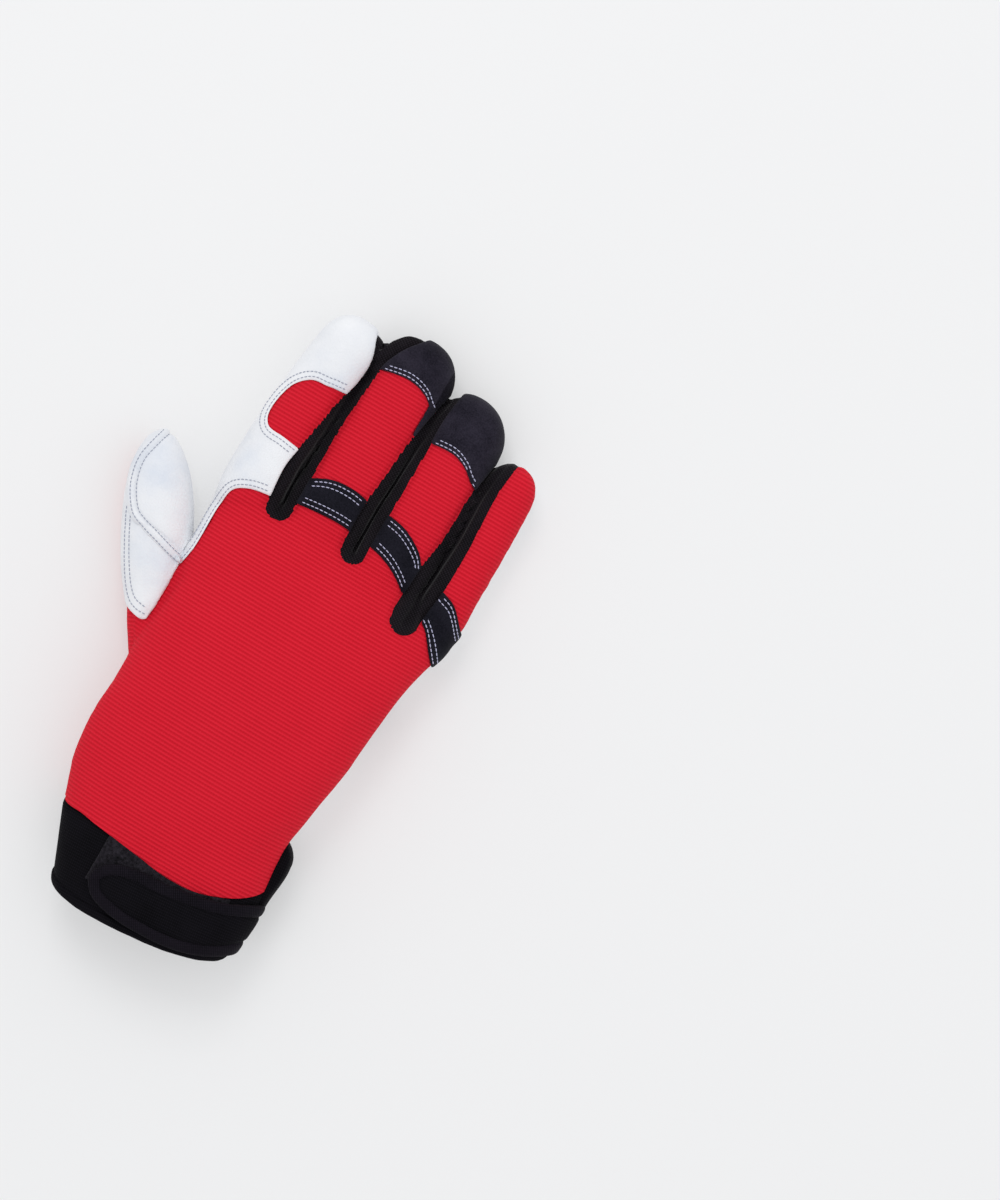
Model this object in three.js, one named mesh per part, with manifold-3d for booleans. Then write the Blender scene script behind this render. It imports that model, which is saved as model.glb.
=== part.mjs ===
// Mechanic's glove for the right hand, lying palm down. Millimetres, +Y to the fingertips,
// +X to the little finger, +Z up out of the back of the hand.
import * as THREE from "three";
import { mergeVertices } from "three/addons/utils/BufferGeometryUtils.js";
import Module from "manifold-3d";

const wasm = await Module();
wasm.setup();

// Hand
const palmWidth = 100; // across the knuckles
const palmLength = 100; // the length that outlines on the palm and back are shares of
const palmDepth = 38; // thickness of the filled-out hand at the middle of the back

// Fingers and thumb
const indexLength = 84.7;
const middleLength = 87.8;
const ringLength = 79.3;
const littleLength = 71.3;
const thumbLength = 85.7;
const indexWidth = 23.6;
const middleWidth = 30;
const ringWidth = 29;
const littleWidth = 18.6;
const thumbWidth = 26.5;
const fingerDepth = 21.5;
const thumbDepth = 22.5;

// Wrist
const cuffLength = 29.5;
const cuffWall = 2.4;
const bindingHeight = 4; // rolled edge at the open end
const bindingWall = 3.2;
const strapThickness = 2;
const loopThickness = 0.8;
const sideTabThickness = 3.4;
const sideTabLength = 25;
const sideTabHeight = 17;

// Cloth and leather
const wallThickness = 1.6;
const patchThickness = 1.2;
const fourchetteRise = 0.6; // how far the strips between the fingers stand proud on the back
const fourchetteWidth = 9.6; // at its rounded root
const seamGap = 0.3; // between pieces that are sewn edge to edge
const layerGap = 0.3; // between a patch and the piece it is sewn on

// The palm patches rest on the floor, so the leather's underside is this high
const palmLevel = layerGap + patchThickness;
const middleHeight = palmLevel + palmDepth / 2;
const reach = palmLength + middleLength + cuffLength + palmWidth; // longer than any cut

const handSides = 28;
const fingerSides = 14;

const colours = {
  redKnit: { color: 0xd4172b, roughness: 0.85, metalness: 0 },
  whiteLeather: { color: 0xe9ebee, roughness: 0.55, metalness: 0 },
  blackSuede: { color: 0x1b1d25, roughness: 0.9, metalness: 0 },
  blackStretch: { color: 0x17141a, roughness: 0.8, metalness: 0 },
  blackElastic: { color: 0x121215, roughness: 0.85, metalness: 0 },
  loopPile: { color: 0x202024, roughness: 1, metalness: 0 },
};

// Sections of the hand, wrist to knuckles: left, right and depth in shares of the palm's width and
// depth, along in shares of its length; rake leans a section back and skew turns it in plan
const handSections = [
  { along: 0.035, left: -0.462, right: 0.378, depth: 0.88, rake: 0.54, skew: 0.0 },
  { along: 0.2, left: -0.492, right: 0.378, depth: 0.94, rake: 0.4, skew: 0.0 },
  { along: 0.38, left: -0.496, right: 0.418, depth: 1.0, rake: 0.22, skew: 0.0 },
  { along: 0.58, left: -0.468, right: 0.468, depth: 1.03, rake: 0.08, skew: 0.0 },
  { along: 0.78, left: -0.452, right: 0.506, depth: 1.0, rake: 0.0, skew: 0.0 },
  { along: 0.97, left: -0.436, right: 0.542, depth: 0.9, rake: 0.0, skew: -0.06 },
  { along: 1.12, left: -0.418, right: 0.585, depth: 0.78, rake: 0.0, skew: -0.13 },
  { along: 1.25, left: -0.408, right: 0.618, depth: 0.64, rake: 0.0, skew: -0.17 },
  { along: 1.33, left: -0.375, right: 0.585, depth: 0.5, rake: 0.0, skew: -0.17 },
];

// Sections of the wrist band, seam to rim: along in shares of the band's length
const cuffSections = [
  { along: 0.0, left: -0.462, right: 0.378, depth: 0.88, rake: 0.54 },
  { along: 0.5, left: -0.415, right: 0.378, depth: 0.89, rake: 0.45 },
  { along: 1.0, left: -0.372, right: 0.358, depth: 0.86, rake: 0.36 },
];

// Sections of every finger: along in shares of its length, width and depth in shares of its own
const fingerSections = [
  { along: -0.2, width: 0.62, depth: 0.55 },
  { along: 0.06, width: 1.0, depth: 1.05 },
  { along: 0.32, width: 1.0, depth: 1.0 },
  { along: 0.58, width: 1.0, depth: 0.97 },
  { along: 0.77, width: 0.95, depth: 0.9 },
  { along: 0.88, width: 0.82, depth: 0.77 },
  { along: 0.955, width: 0.57, depth: 0.55 },
  { along: 1.0, width: 0.0, depth: 0.0 },
];
const thumbSections = [
  { along: -0.15, width: 0.6, depth: 0.85 },
  { along: 0.25, width: 0.84, depth: 1.0 },
  { along: 0.5, width: 1.0, depth: 1.02 },
  { along: 0.68, width: 1.0, depth: 0.97 },
  { along: 0.82, width: 0.87, depth: 0.87 },
  { along: 0.92, width: 0.66, depth: 0.66 },
  { along: 0.975, width: 0.4, depth: 0.42 },
  { along: 1.0, width: 0.0, depth: 0.0 },
];

// Each finger: root in shares of the palm, lean towards the little finger in degrees, bow in shares
// of its length, tuck of its hidden root into the hand in shares of its width, and how far the knit
// tongue on the back and the leather one on the palm reach to each side, root then tip, in shares
// of the half width; past 1 means round the side of the finger
const fingers = {
  index: {
    length: indexLength, width: indexWidth, depth: fingerDepth, sections: fingerSections,
    root: [-0.305, 1.3], lean: 9.85, bow: -0.026, tuck: 0.2,
    back: { left: [-2, -2], right: [0.62, 0.8], tip: 1.3 },
    palm: { left: [-2, -2], right: [0.55, 0.62], tip: 1.3 },
  },
  middle: {
    length: middleLength, width: middleWidth, depth: fingerDepth, sections: fingerSections,
    root: [-0.025, 1.3], lean: 7.66, bow: 0, tuck: 0,
    back: { left: [-0.75, -0.84], right: [0.7, 0.86], tip: 1.3 },
    palm: { left: [-0.66, -0.62], right: [0.66, 0.62], tip: 0.935 },
  },
  ring: {
    length: ringLength, width: ringWidth, depth: fingerDepth, sections: fingerSections,
    root: [0.285, 1.26], lean: 5.06, bow: 0.022, tuck: 0,
    back: { left: [-0.78, -0.76], right: [0.62, 0.84], tip: 1.3 },
    palm: { left: [-0.66, -0.62], right: [0.66, 0.62], tip: 0.93 },
  },
  little: {
    length: littleLength, width: littleWidth, depth: fingerDepth * 0.9, sections: fingerSections,
    root: [0.543, 1.18], lean: 4.83, bow: 0.01, tuck: -0.36,
    back: { left: [-0.62, -0.5], right: [2, 2], tip: 1.3 },
    palm: { left: [-0.62, -0.55], right: [2, 2], tip: 1.3 },
  },
};
const thumb = {
  length: thumbLength, width: thumbWidth, depth: thumbDepth, sections: thumbSections,
  root: [-0.4, 0.65], lean: -20.1, bow: 0, tuck: 0,
};

// Roots of the strips between the fingers, in shares of the palm: rounded on the back, pointed below
const fourchettes = {
  fourchette_index_middle: { first: "index", second: "middle", back: [-0.18, 1.325], palm: [-0.17, 1.4] },
  fourchette_middle_ring: { first: "middle", second: "ring", back: [0.14, 1.29], palm: [0.145, 1.38] },
  fourchette_ring_little: { first: "ring", second: "little", back: [0.42, 1.125], palm: [0.45, 1.26] },
};

// Outlines on the palm and back, in shares of its width and length
const fingerPatchOutline = [
  [0.59, 1.22], [0.58, 1.3], [0.53, 1.35], [0.46, 1.34], [0.41, 1.24], [0.37, 1.175], [0.325, 1.23],
  [0.29, 1.4], [0.22, 1.44], [0.165, 1.38], [0.1, 1.285], [0.06, 1.4], [0.01, 1.5], [-0.06, 1.48],
  [-0.12, 1.345], [-0.18, 1.42], [-0.25, 1.53], [-0.33, 1.5], [-0.37, 1.36], [-0.33, 1.21],
  [-0.22, 1.175], [0.0, 1.12], [0.2, 1.1], [0.4, 1.03], [0.54, 1.03],
];
const heelPatchOutline = [
  [0.49, 0.93], [0.4, 0.955], [0.345, 0.91], [0.3, 0.76], [0.22, 0.655], [0.13, 0.65], [0.04, 0.72],
  [0.01, 0.82], [-0.01, 0.98], [-0.07, 1.055], [-0.17, 1.07], [-0.29, 1.06], [-0.335, 1.0],
  [-0.28, 0.88], [-0.19, 0.71], [-0.08, 0.47], [0.02, 0.36], [0.12, 0.35], [0.26, 0.41],
  [0.38, 0.53], [0.46, 0.7], [0.51, 0.84],
];
const thumbSideOfPalm = [[-0.18, -0.5], [-0.18, 0.1], [-0.17, 0.33], [-0.2, 0.42], [-0.3, 0.53]];
const strapOutline = [
  [-0.235, -0.18], [-0.2, -0.245], [-0.12, -0.285], [0, -0.31], [0.18, -0.31], [0.3, -0.275],
  [0.42, -0.2], [0.5, -0.13], [0.5, -0.03], [0.4, -0.035], [0.24, -0.075], [0.05, -0.08],
  [-0.1, -0.085], [-0.19, -0.115],
];
const loopOutline = [[-0.28, -0.2], [-0.28, -0.09], [0.26, -0.09], [0.26, -0.2]];
const wristAlong = handSections[0].along;

// Outlines on one finger or the thumb: across in shares of its half width, along of its length
const indexWindow = [
  [0.95, 0.69], [0.5, 0.68], [0.2, 0.67], [-0.27, 0.655], [-0.66, 0.59], [-0.86, 0.49],
  [-0.8, 0.41], [-0.55, 0.372], [0, 0.375], [0.5, 0.37], [0.95, 0.36],
];
const middleCapEdge = [[-1.5, 0.74], [-0.78, 0.765], [0, 0.8], [0.5, 0.785], [0.85, 0.745], [1.5, 0.7]];
const ringCapEdge = [[-1.5, 0.69], [-0.68, 0.705], [0, 0.71], [0.4, 0.68], [0.72, 0.63], [1.5, 0.57]];
const capSide = 0.94; // how far the caps reach to each side, in shares of the half width
const bands = {
  middle: { upper: [[-1.5, 0.275], [1.5, 0.275]], lower: [[-1.5, 0.12], [1.5, 0.12]] },
  ring: {
    upper: [[-1.5, 0.33], [-0.7, 0.313], [-0.12, 0.29], [0.48, 0.224], [0.74, 0.165], [1.5, 0.02]],
    lower: [[-1.5, 0.16], [-0.7, 0.14], [-0.13, 0.112], [0.32, 0.069], [0.72, 0.012], [1.5, -0.11]],
  },
  little: {
    upper: [[-1.5, 0.26], [-0.27, 0.216], [0.25, 0.186], [0.86, 0.094], [1.8, -0.04]],
    lower: [[-1.5, 0.1], [-0.71, 0.049], [-0.14, -0.008], [0.57, -0.09], [1.8, -0.24]],
  },
};
const thumbWelt = [
  [0.1, 1.2], [0.0, 0.98], [-0.37, 0.89], [-0.58, 0.77], [-0.58, 0.65], [-0.2, 0.585],
  [0.2, 0.54], [0.78, 0.44],
];
const saddleEdge = [[0.1, 0.2], [-0.2, 0.15], [-0.6, 0.17], [-0.98, 0.27], [-1.6, 0.42], [-1.6, 1.2]];

// Plan position of a point given in shares of the palm
function onPalm([across, along]) {
  return new THREE.Vector2(across * palmWidth, along * palmLength);
}

// Plan position of a point given in shares of a finger's half width and length
function onFinger(finger, [across, along], grow = 0) {
  const lean = THREE.MathUtils.degToRad(finger.lean);
  const bowed = finger.bow * finger.length * Math.sin(Math.PI * THREE.MathUtils.clamp(along, 0, 1));
  const tucked = finger.tuck * finger.width * Math.max(0, -along / 0.2);
  const aside = across * (finger.width / 2) + bowed + tucked + grow;
  const ahead = along * finger.length;
  return onPalm(finger.root).add(
    new THREE.Vector2(
      ahead * Math.sin(lean) + aside * Math.cos(lean),
      ahead * Math.cos(lean) - aside * Math.sin(lean),
    ),
  );
}

// One section as [across, height] points: rounded over the back, flat where it lies on the floor
function sectionRing(sides, halfWidth, low, high) {
  const mid = low + 0.45 * (high - low);
  const ring = [];
  for (let i = 0; i < sides; i++) {
    const angle = (2 * Math.PI * (i + 0.5)) / sides;
    const c = Math.cos(angle);
    const s = Math.sin(angle);
    const across = halfWidth * Math.sign(c) * Math.abs(c) ** 0.84;
    const up = mid + (high - mid) * Math.max(s, 0) ** 0.92;
    const down = (mid - low) * Math.min(1, Math.max(-s, 0) * 1.35);
    ring.push([across, s > 0 ? up : mid - down]);
  }
  return ring;
}

// A closed skin through rings of equal count; a last ring of one point closes to a pole
function loft(rings) {
  const positions = rings.flat().flatMap((p) => [p.x, p.y, p.z]);
  const sides = rings[0].length;
  const index = [];
  for (let r = 0; r + 1 < rings.length; r++) {
    const here = r * sides;
    const next = here + sides;
    const pole = rings[r + 1].length === 1;
    for (let i = 0; i < sides; i++) {
      const j = (i + 1) % sides;
      if (pole) index.push(here + i, here + j, next);
      else index.push(here + i, here + j, next + j, here + i, next + j, next + i);
    }
  }
  for (let i = 1; i + 1 < sides; i++) index.push(0, i + 1, i);
  const last = rings.at(-1);
  const lastStart = (rings.length - 1) * sides;
  if (last.length > 1) {
    for (let i = 1; i + 1 < sides; i++) index.push(lastStart, lastStart + i, lastStart + i + 1);
  }
  const geometry = new THREE.BufferGeometry();
  geometry.setAttribute("position", new THREE.Float32BufferAttribute(positions, 3));
  geometry.setIndex(index);
  return solid(geometry);
}

// A three.js geometry as a solid that can be joined and cut
function solid(geometry) {
  geometry.deleteAttribute("normal");
  geometry.deleteAttribute("uv");
  const merged = mergeVertices(geometry, 1e-4);
  const triVerts = new Uint32Array(merged.index.array);
  const build = () =>
    new wasm.Manifold(
      new wasm.Mesh({ numProp: 3, vertProperties: merged.attributes.position.array, triVerts }),
    );
  const made = build();
  if (made.volume() > 0) return made;
  triVerts.reverse();
  return build();
}

// An upright prism of a plan outline
function prism(outline, low = -palmDepth, high = 2 * palmDepth) {
  const geometry = new THREE.ExtrudeGeometry(new THREE.Shape(outline), {
    depth: high - low,
    bevelEnabled: false,
    steps: 1,
  });
  geometry.translate(0, 0, low);
  return solid(geometry);
}

// A smooth closed outline through a few points
function smooth(points, steps) {
  const curve = new THREE.CatmullRomCurve3(
    points.map((p) => new THREE.Vector3(p.x, p.y, 0)),
    true,
    "centripetal",
  );
  return curve.getPoints(steps).slice(0, -1).map((p) => new THREE.Vector2(p.x, p.y));
}

function union(solids) {
  return solids.reduce((all, one) => all.add(one));
}

// The largest body of a cut, so that no sliver of a facet stays as a second one
function largest(cut) {
  return cut.decompose().sort((a, b) => b.volume() - a.volume())[0];
}

// A section of the hand or wrist band as a tilted ring in space
function wristRing(row, along, grow) {
  const left = row.left * palmWidth - grow;
  const right = row.right * palmWidth + grow;
  const centre = (left + right) / 2;
  const high = palmLevel + row.depth * palmDepth + grow;
  return sectionRing(handSides, (right - left) / 2, palmLevel - grow, high).map(
    ([across, z]) =>
      new THREE.Vector3(
        centre + across,
        along + (row.skew ?? 0) * across - row.rake * (z - middleHeight),
        z,
      ),
  );
}

function fingerTube(finger, grow) {
  const rings = finger.sections.map((row, i) => {
    const pole = i === finger.sections.length - 1;
    const low = palmLevel + 0.4 * (1 - Math.min(row.depth, 1)) * finger.depth - grow;
    const high = palmLevel + (0.4 + 0.6 * row.depth) * finger.depth + grow;
    if (pole) {
      const tip = onFinger(finger, [0, row.along + grow / finger.length]);
      return [new THREE.Vector3(tip.x, tip.y, (low + high) / 2)];
    }
    const onward = i === 0 ? -grow : grow * (1 - row.width);
    const ahead = row.along + onward / finger.length;
    const half = (row.width * finger.width) / 2 + grow;
    return sectionRing(fingerSides, half, low, high).map(([across, z]) => {
      const p = onFinger(finger, [0, ahead], across);
      return new THREE.Vector3(p.x, p.y, z);
    });
  });
  return loft(rings);
}

// The filled-out hand, grown or shrunk all over; overrun carries it on past the wrist seam
function handForm(grow, overrun = 0) {
  const rings = handSections.map((row, i) => {
    const end = i === handSections.length - 1 ? grow : 0;
    return wristRing(row, row.along * palmLength + end, grow);
  });
  if (overrun > 0) rings.unshift(wristRing(handSections[0], wristAlong * palmLength - overrun, grow));
  const hand = loft(rings);
  const digits = [...Object.values(fingers), thumb].map((finger) => fingerTube(finger, grow));
  return union([hand, ...digits]);
}

// The wrist band's tube between two places along it, in millimetres from the seam
function cuffForm(grow, from, to) {
  const places = [from, ...cuffSections.map((row) => row.along * cuffLength), to];
  const inside = places.filter((place) => place >= from && place <= to);
  const stops = [...new Set(inside)].sort((a, b) => b - a);
  const rings = stops.map((place) => {
    const share = THREE.MathUtils.clamp(place / cuffLength, 0, 1);
    const next = Math.max(1, cuffSections.findIndex((row) => row.along >= share));
    const before = cuffSections[next - 1];
    const after = cuffSections[next];
    const mix = (share - before.along) / (after.along - before.along);
    const row = {};
    for (const key of ["left", "right", "depth", "rake"]) {
      row[key] = THREE.MathUtils.lerp(before[key], after[key], mix);
    }
    return wristRing(row, wristAlong * palmLength - place, grow);
  });
  return loft(rings);
}

// Everything below the side seam, which drops from the thumb side to the little finger
function underSeam(lift) {
  const turnAlong = 1.3 * palmLength;
  const slab = (leftHeight, rightHeight, from, to) => {
    const shape = new THREE.Shape([
      new THREE.Vector2(-palmWidth, palmLevel + leftHeight + lift),
      new THREE.Vector2(-palmWidth, -palmDepth),
      new THREE.Vector2(palmWidth, -palmDepth),
      new THREE.Vector2(palmWidth, palmLevel + rightHeight + lift),
    ]);
    const geometry = new THREE.ExtrudeGeometry(shape, { depth: to - from, bevelEnabled: false });
    geometry.rotateX(Math.PI / 2);
    geometry.translate(0, to, 0);
    return solid(geometry);
  };
  const hand = slab(0.84 * palmDepth, 0.05 * palmDepth, -reach, turnAlong);
  const tips = slab(0.62 * fingerDepth, 0.34 * fingerDepth, turnAlong - seamGap, reach);
  return hand.add(tips);
}

// The tongue of knit or leather on one finger, in plan
function tongue(finger, side, grow) {
  const rows = [-0.4, 0, 0.25, 0.5, 0.75, 0.9, 1.0, 1.15].filter((along) => along < side.tip);
  const half = finger.width / 2;
  const rim = (along, [root, tip], away) => {
    const share = THREE.MathUtils.lerp(root, tip, THREE.MathUtils.clamp(along, 0, 1));
    return onFinger(finger, [share, along], away);
  };
  const left = rows.map((along) => rim(along, side.left, -grow));
  const right = rows.map((along) => rim(along, side.right, grow));
  const end = [];
  if (side.tip < 1) {
    const start = rows.at(-1);
    for (const turn of [0.3, 0.6, 0.8, 1, 1.2, 1.4, 1.7]) {
      const angle = (turn * Math.PI) / 2;
      const across = -Math.cos(angle) * (side.right[1] * half + grow);
      const along = start + Math.sin(angle) * (side.tip - start + grow / finger.length);
      end.push(onFinger(finger, [0, along], across));
    }
  }
  return prism([...left, ...end, ...right.reverse()]);
}

// Plan area of a strip between two fingers, back or palm, before the tongues are cut out of it
function stripArea(strip, side, grow) {
  const first = fingers[strip.first];
  const second = fingers[strip.second];
  const root = onPalm(strip[side]);
  const half = seamGap / 2;
  const firstAxis = [0.22, 0.6, 0.9, 1.2].map((along) => onFinger(first, [0, along], half - grow));
  const secondAxis = [1.2, 0.9, 0.6, 0.22].map((along) => onFinger(second, [0, along], grow - half));
  if (side === "palm") {
    const point = root.clone().setY(root.y - grow);
    return prism([point, ...firstAxis, ...secondAxis]);
  }
  const radius = fourchetteWidth / 2 + grow;
  const arc = [];
  for (let turn = 0; turn <= 6; turn++) {
    const angle = (Math.PI * turn) / 6;
    arc.push(new THREE.Vector2(root.x + radius * Math.cos(angle), root.y - radius * Math.sin(angle)));
  }
  return prism([...firstAxis, ...secondAxis, ...arc]);
}

function stripZone(strip, side, grow) {
  const tongues = [strip.first, strip.second].map((name) =>
    tongue(fingers[name], fingers[name][side], -grow),
  );
  return stripArea(strip, side, grow).subtract(union(tongues));
}

// A layer of the given thickness that follows the hand, cut to a plan outline
function layerOn(form, inner, thickness) {
  return form(inner + thickness).subtract(form(inner));
}

const overrun = cuffLength / 2;
const outer = handForm(0);
const inner = handForm(-wallThickness, overrun);
const shell = outer.subtract(inner);
const under = underSeam(0);
const underRaised = underSeam(seamGap);
const patchLayer = layerOn((grow) => handForm(grow, overrun), layerGap, patchThickness);
const backLayer = patchLayer.subtract(underRaised);

// Plan areas of the patches on the back
function bandArea(name, grow) {
  const finger = fingers[name];
  const shift = grow / finger.length;
  const upper = bands[name].upper.map(([across, along]) => onFinger(finger, [across, along + shift]));
  const lower = bands[name].lower.map(([across, along]) => onFinger(finger, [across, along - shift]));
  return prism([...upper, ...lower.reverse()]);
}

function capArea(finger, edge, grow) {
  const side = capSide + (2 * grow) / finger.width;
  const kept = edge.map(([across, along]) => [THREE.MathUtils.clamp(across, -side, side), along]);
  const lower = kept.map(([across, along]) => onFinger(finger, [across, along - grow / finger.length]));
  const far = [side, -side].map((across) => onFinger(finger, [across, 1.3]));
  return prism([...lower, ...far]);
}

function coverArea(grow) {
  const finger = fingers.index;
  const shift = grow / finger.length;
  const whole = prism(
    [[-1.6, 0.085 - shift], [1.0, 0.085 - shift], [1.0, 1.3], [-1.6, 1.3]].map((p) => onFinger(finger, p)),
  );
  const window = prism(smooth(indexWindow.map((p) => onFinger(finger, p)), 40));
  return whole.subtract(window);
}

const bandNames = Object.keys(bands);
const capClearance = 2 * (patchThickness + layerGap);
const raisedCovers = union([
  capArea(fingers.middle, middleCapEdge, capClearance),
  capArea(fingers.ring, ringCapEdge, capClearance),
]);

const pieces = [];
function add(name, colour, made) {
  pieces.push({ name, colour, made: largest(made) });
}

// Strips between the fingers
const raisedForm = handForm(fourchetteRise);
for (const [name, strip] of Object.entries(fourchettes)) {
  const backZone = stripZone(strip, "back", 0).subtract(under);
  const palmZone = stripZone(strip, "palm", 0).intersect(underRaised);
  const raised = raisedForm.intersect(backZone).subtract(raisedCovers);
  const skin = outer.intersect(backZone.add(palmZone));
  add(name, "blackStretch", skin.add(raised).subtract(inner));
}
const backCuts = union(Object.values(fourchettes).map((strip) => stripZone(strip, "back", seamGap)));
const palmCuts = union(Object.values(fourchettes).map((strip) => stripZone(strip, "palm", seamGap)));

// Knit back, leather palm and the knit side of the thumb
function thumbSideArea(grow) {
  const edge = thumbSideOfPalm.map(onPalm);
  const alongThumb = [[-0.35, 0.25], [-0.35, 0.6], [-0.3, 1.3]].map((p) => onFinger(thumb, p));
  const shifted = [...edge, ...alongThumb].map((p) => p.clone().setX(p.x + grow));
  const far = [[-1.2, 1.5], [-1.2, -0.5]].map(onPalm);
  return prism([...shifted, ...far]);
}
add("back_panel", "redKnit", shell.subtract(underRaised).subtract(backCuts));
add(
  "palm_panel",
  "whiteLeather",
  shell.intersect(under).subtract(palmCuts).subtract(thumbSideArea(seamGap)),
);
add("thumb_back", "redKnit", shell.intersect(under).intersect(thumbSideArea(0)));

// Leather and suede on the back of the fingers
const indexTongue = tongue(fingers.index, fingers.index.back, -seamGap);
add("index_cover", "whiteLeather", backLayer.intersect(coverArea(0)).intersect(indexTongue));
const caps = { middle: middleCapEdge, ring: ringCapEdge };
for (const [name, edge] of Object.entries(caps)) {
  add("fingertip_cap_" + name, "blackSuede", backLayer.intersect(capArea(fingers[name], edge, 0)));
}
for (const name of bandNames) {
  const between = tongue(fingers[name], fingers[name].back, -seamGap);
  add("knuckle_band_" + name, "blackSuede", backLayer.intersect(bandArea(name, 0)).intersect(between));
}

// Leather on the back of the thumb
const thumbTop = palmLevel + 0.3 * thumbDepth;
const besideHand = -0.45 * palmWidth;
const overThumb = prism(
  [
    new THREE.Vector2(besideHand, -palmLength),
    new THREE.Vector2(besideHand, 2 * palmLength),
    new THREE.Vector2(-1.5 * palmWidth, 2 * palmLength),
    new THREE.Vector2(-1.5 * palmWidth, -palmLength),
  ],
  thumbTop,
);
const thumbLayer = patchLayer.intersect(overThumb);
const welt = thumbWelt.map((p) => onFinger(thumb, p));
const tipSide = [[1.6, 0.44], [1.6, 1.2]].map((p) => onFinger(thumb, p));
const saddleSide = saddleEdge.map((p) => onFinger(thumb, p));
const towardTip = thumbWelt.map(([across, along]) => onFinger(thumb, [across, along], seamGap));
add("thumb_tip_patch", "whiteLeather", thumbLayer.intersect(prism([...towardTip, ...tipSide])));
add("thumb_saddle_patch", "whiteLeather", thumbLayer.intersect(prism([...welt, ...saddleSide])));

// Suede patches on the palm, flat on the floor
const palmLayer = patchLayer.intersect(underSeam(0));
const fingerPatch = prism(smooth(fingerPatchOutline.map(onPalm), 75));
const heelPatch = prism(smooth(heelPatchOutline.map(onPalm), 60));
const lowest = prism(
  [[-1, -1], [1, -1], [1, 2.5], [-1, 2.5]].map(onPalm),
  -palmDepth,
  palmLevel + 0.2 * fingerDepth,
);
add("palm_patch_fingers", "blackSuede", palmLayer.intersect(fingerPatch).intersect(lowest));
add("palm_patch_heel", "blackSuede", palmLayer.intersect(heelPatch).intersect(lowest));

// Wrist band and its rolled edge
const bindingStart = cuffLength - bindingHeight;
const bore = cuffForm(-cuffWall, -overrun, cuffLength + overrun);
add("cuff", "blackElastic", cuffForm(0, seamGap, bindingStart - seamGap).subtract(bore));
const bindingBore = cuffForm(-bindingWall + layerGap, bindingStart - overrun, cuffLength + overrun);
add("cuff_binding", "blackElastic", cuffForm(layerGap, bindingStart, cuffLength).subtract(bindingBore));

// Hook-and-loop fastening over the back of the wrist band
const bandTube = (grow) => cuffForm(grow, seamGap, cuffLength);
const aboveMiddle = prism(
  [[-1, -1], [1, -1], [1, 2], [-1, 2]].map(onPalm),
  palmLevel + 0.28 * palmDepth,
);
const loopArea = prism(loopOutline.map(([x, y]) => onPalm([x, wristAlong + y])));
const onLoop = 2 * layerGap + loopThickness;
add(
  "loop_patch",
  "loopPile",
  layerOn((grow) => cuffForm(grow, seamGap, bindingStart), layerGap, loopThickness)
    .intersect(loopArea)
    .intersect(aboveMiddle),
);
const strapArea = prism(smooth(strapOutline.map(([x, y]) => onPalm([x, wristAlong + y])), 48));
add(
  "wrist_strap",
  "blackElastic",
  layerOn(bandTube, onLoop, strapThickness).intersect(strapArea).intersect(aboveMiddle),
);

// Tab at the little-finger side of the wrist
const tabStart = wristAlong * palmLength - 0.5 * seamGap;
const tabMiddle = palmLevel + 0.42 * palmDepth;
const tabArea = prism(
  [
    new THREE.Vector2(0.3 * palmWidth, tabStart),
    new THREE.Vector2(0.8 * palmWidth, tabStart),
    new THREE.Vector2(0.8 * palmWidth, tabStart + sideTabLength),
    new THREE.Vector2(0.3 * palmWidth, tabStart + sideTabLength),
  ],
  tabMiddle - sideTabHeight / 2,
  tabMiddle + sideTabHeight / 2,
);
add(
  "side_tab",
  "blackElastic",
  layerOn((grow) => handForm(grow, overrun), layerGap, sideTabThickness).intersect(tabArea),
);

// The assembly, with its origin on the floor under the middle of its box
const glove = new THREE.Group();
for (const { name, colour, made } of pieces) {
  const mesh = made.getMesh();
  const geometry = new THREE.BufferGeometry();
  geometry.setAttribute("position", new THREE.BufferAttribute(mesh.vertProperties, 3));
  geometry.setIndex(new THREE.BufferAttribute(mesh.triVerts, 1));
  geometry.computeVertexNormals();
  const piece = new THREE.Mesh(geometry, new THREE.MeshStandardMaterial(colours[colour]));
  piece.name = name;
  glove.add(piece);
}
const box = new THREE.Box3().setFromObject(glove);
const centre = box.getCenter(new THREE.Vector3());
glove.position.set(-centre.x, -centre.y, -box.min.z);

const group = new THREE.Group();
group.add(glove);

export default group;
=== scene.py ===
import math
import bmesh
import bpy
import numpy as np
from mathutils import Matrix, Vector, noise
from mathutils.bvhtree import BVHTree


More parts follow.
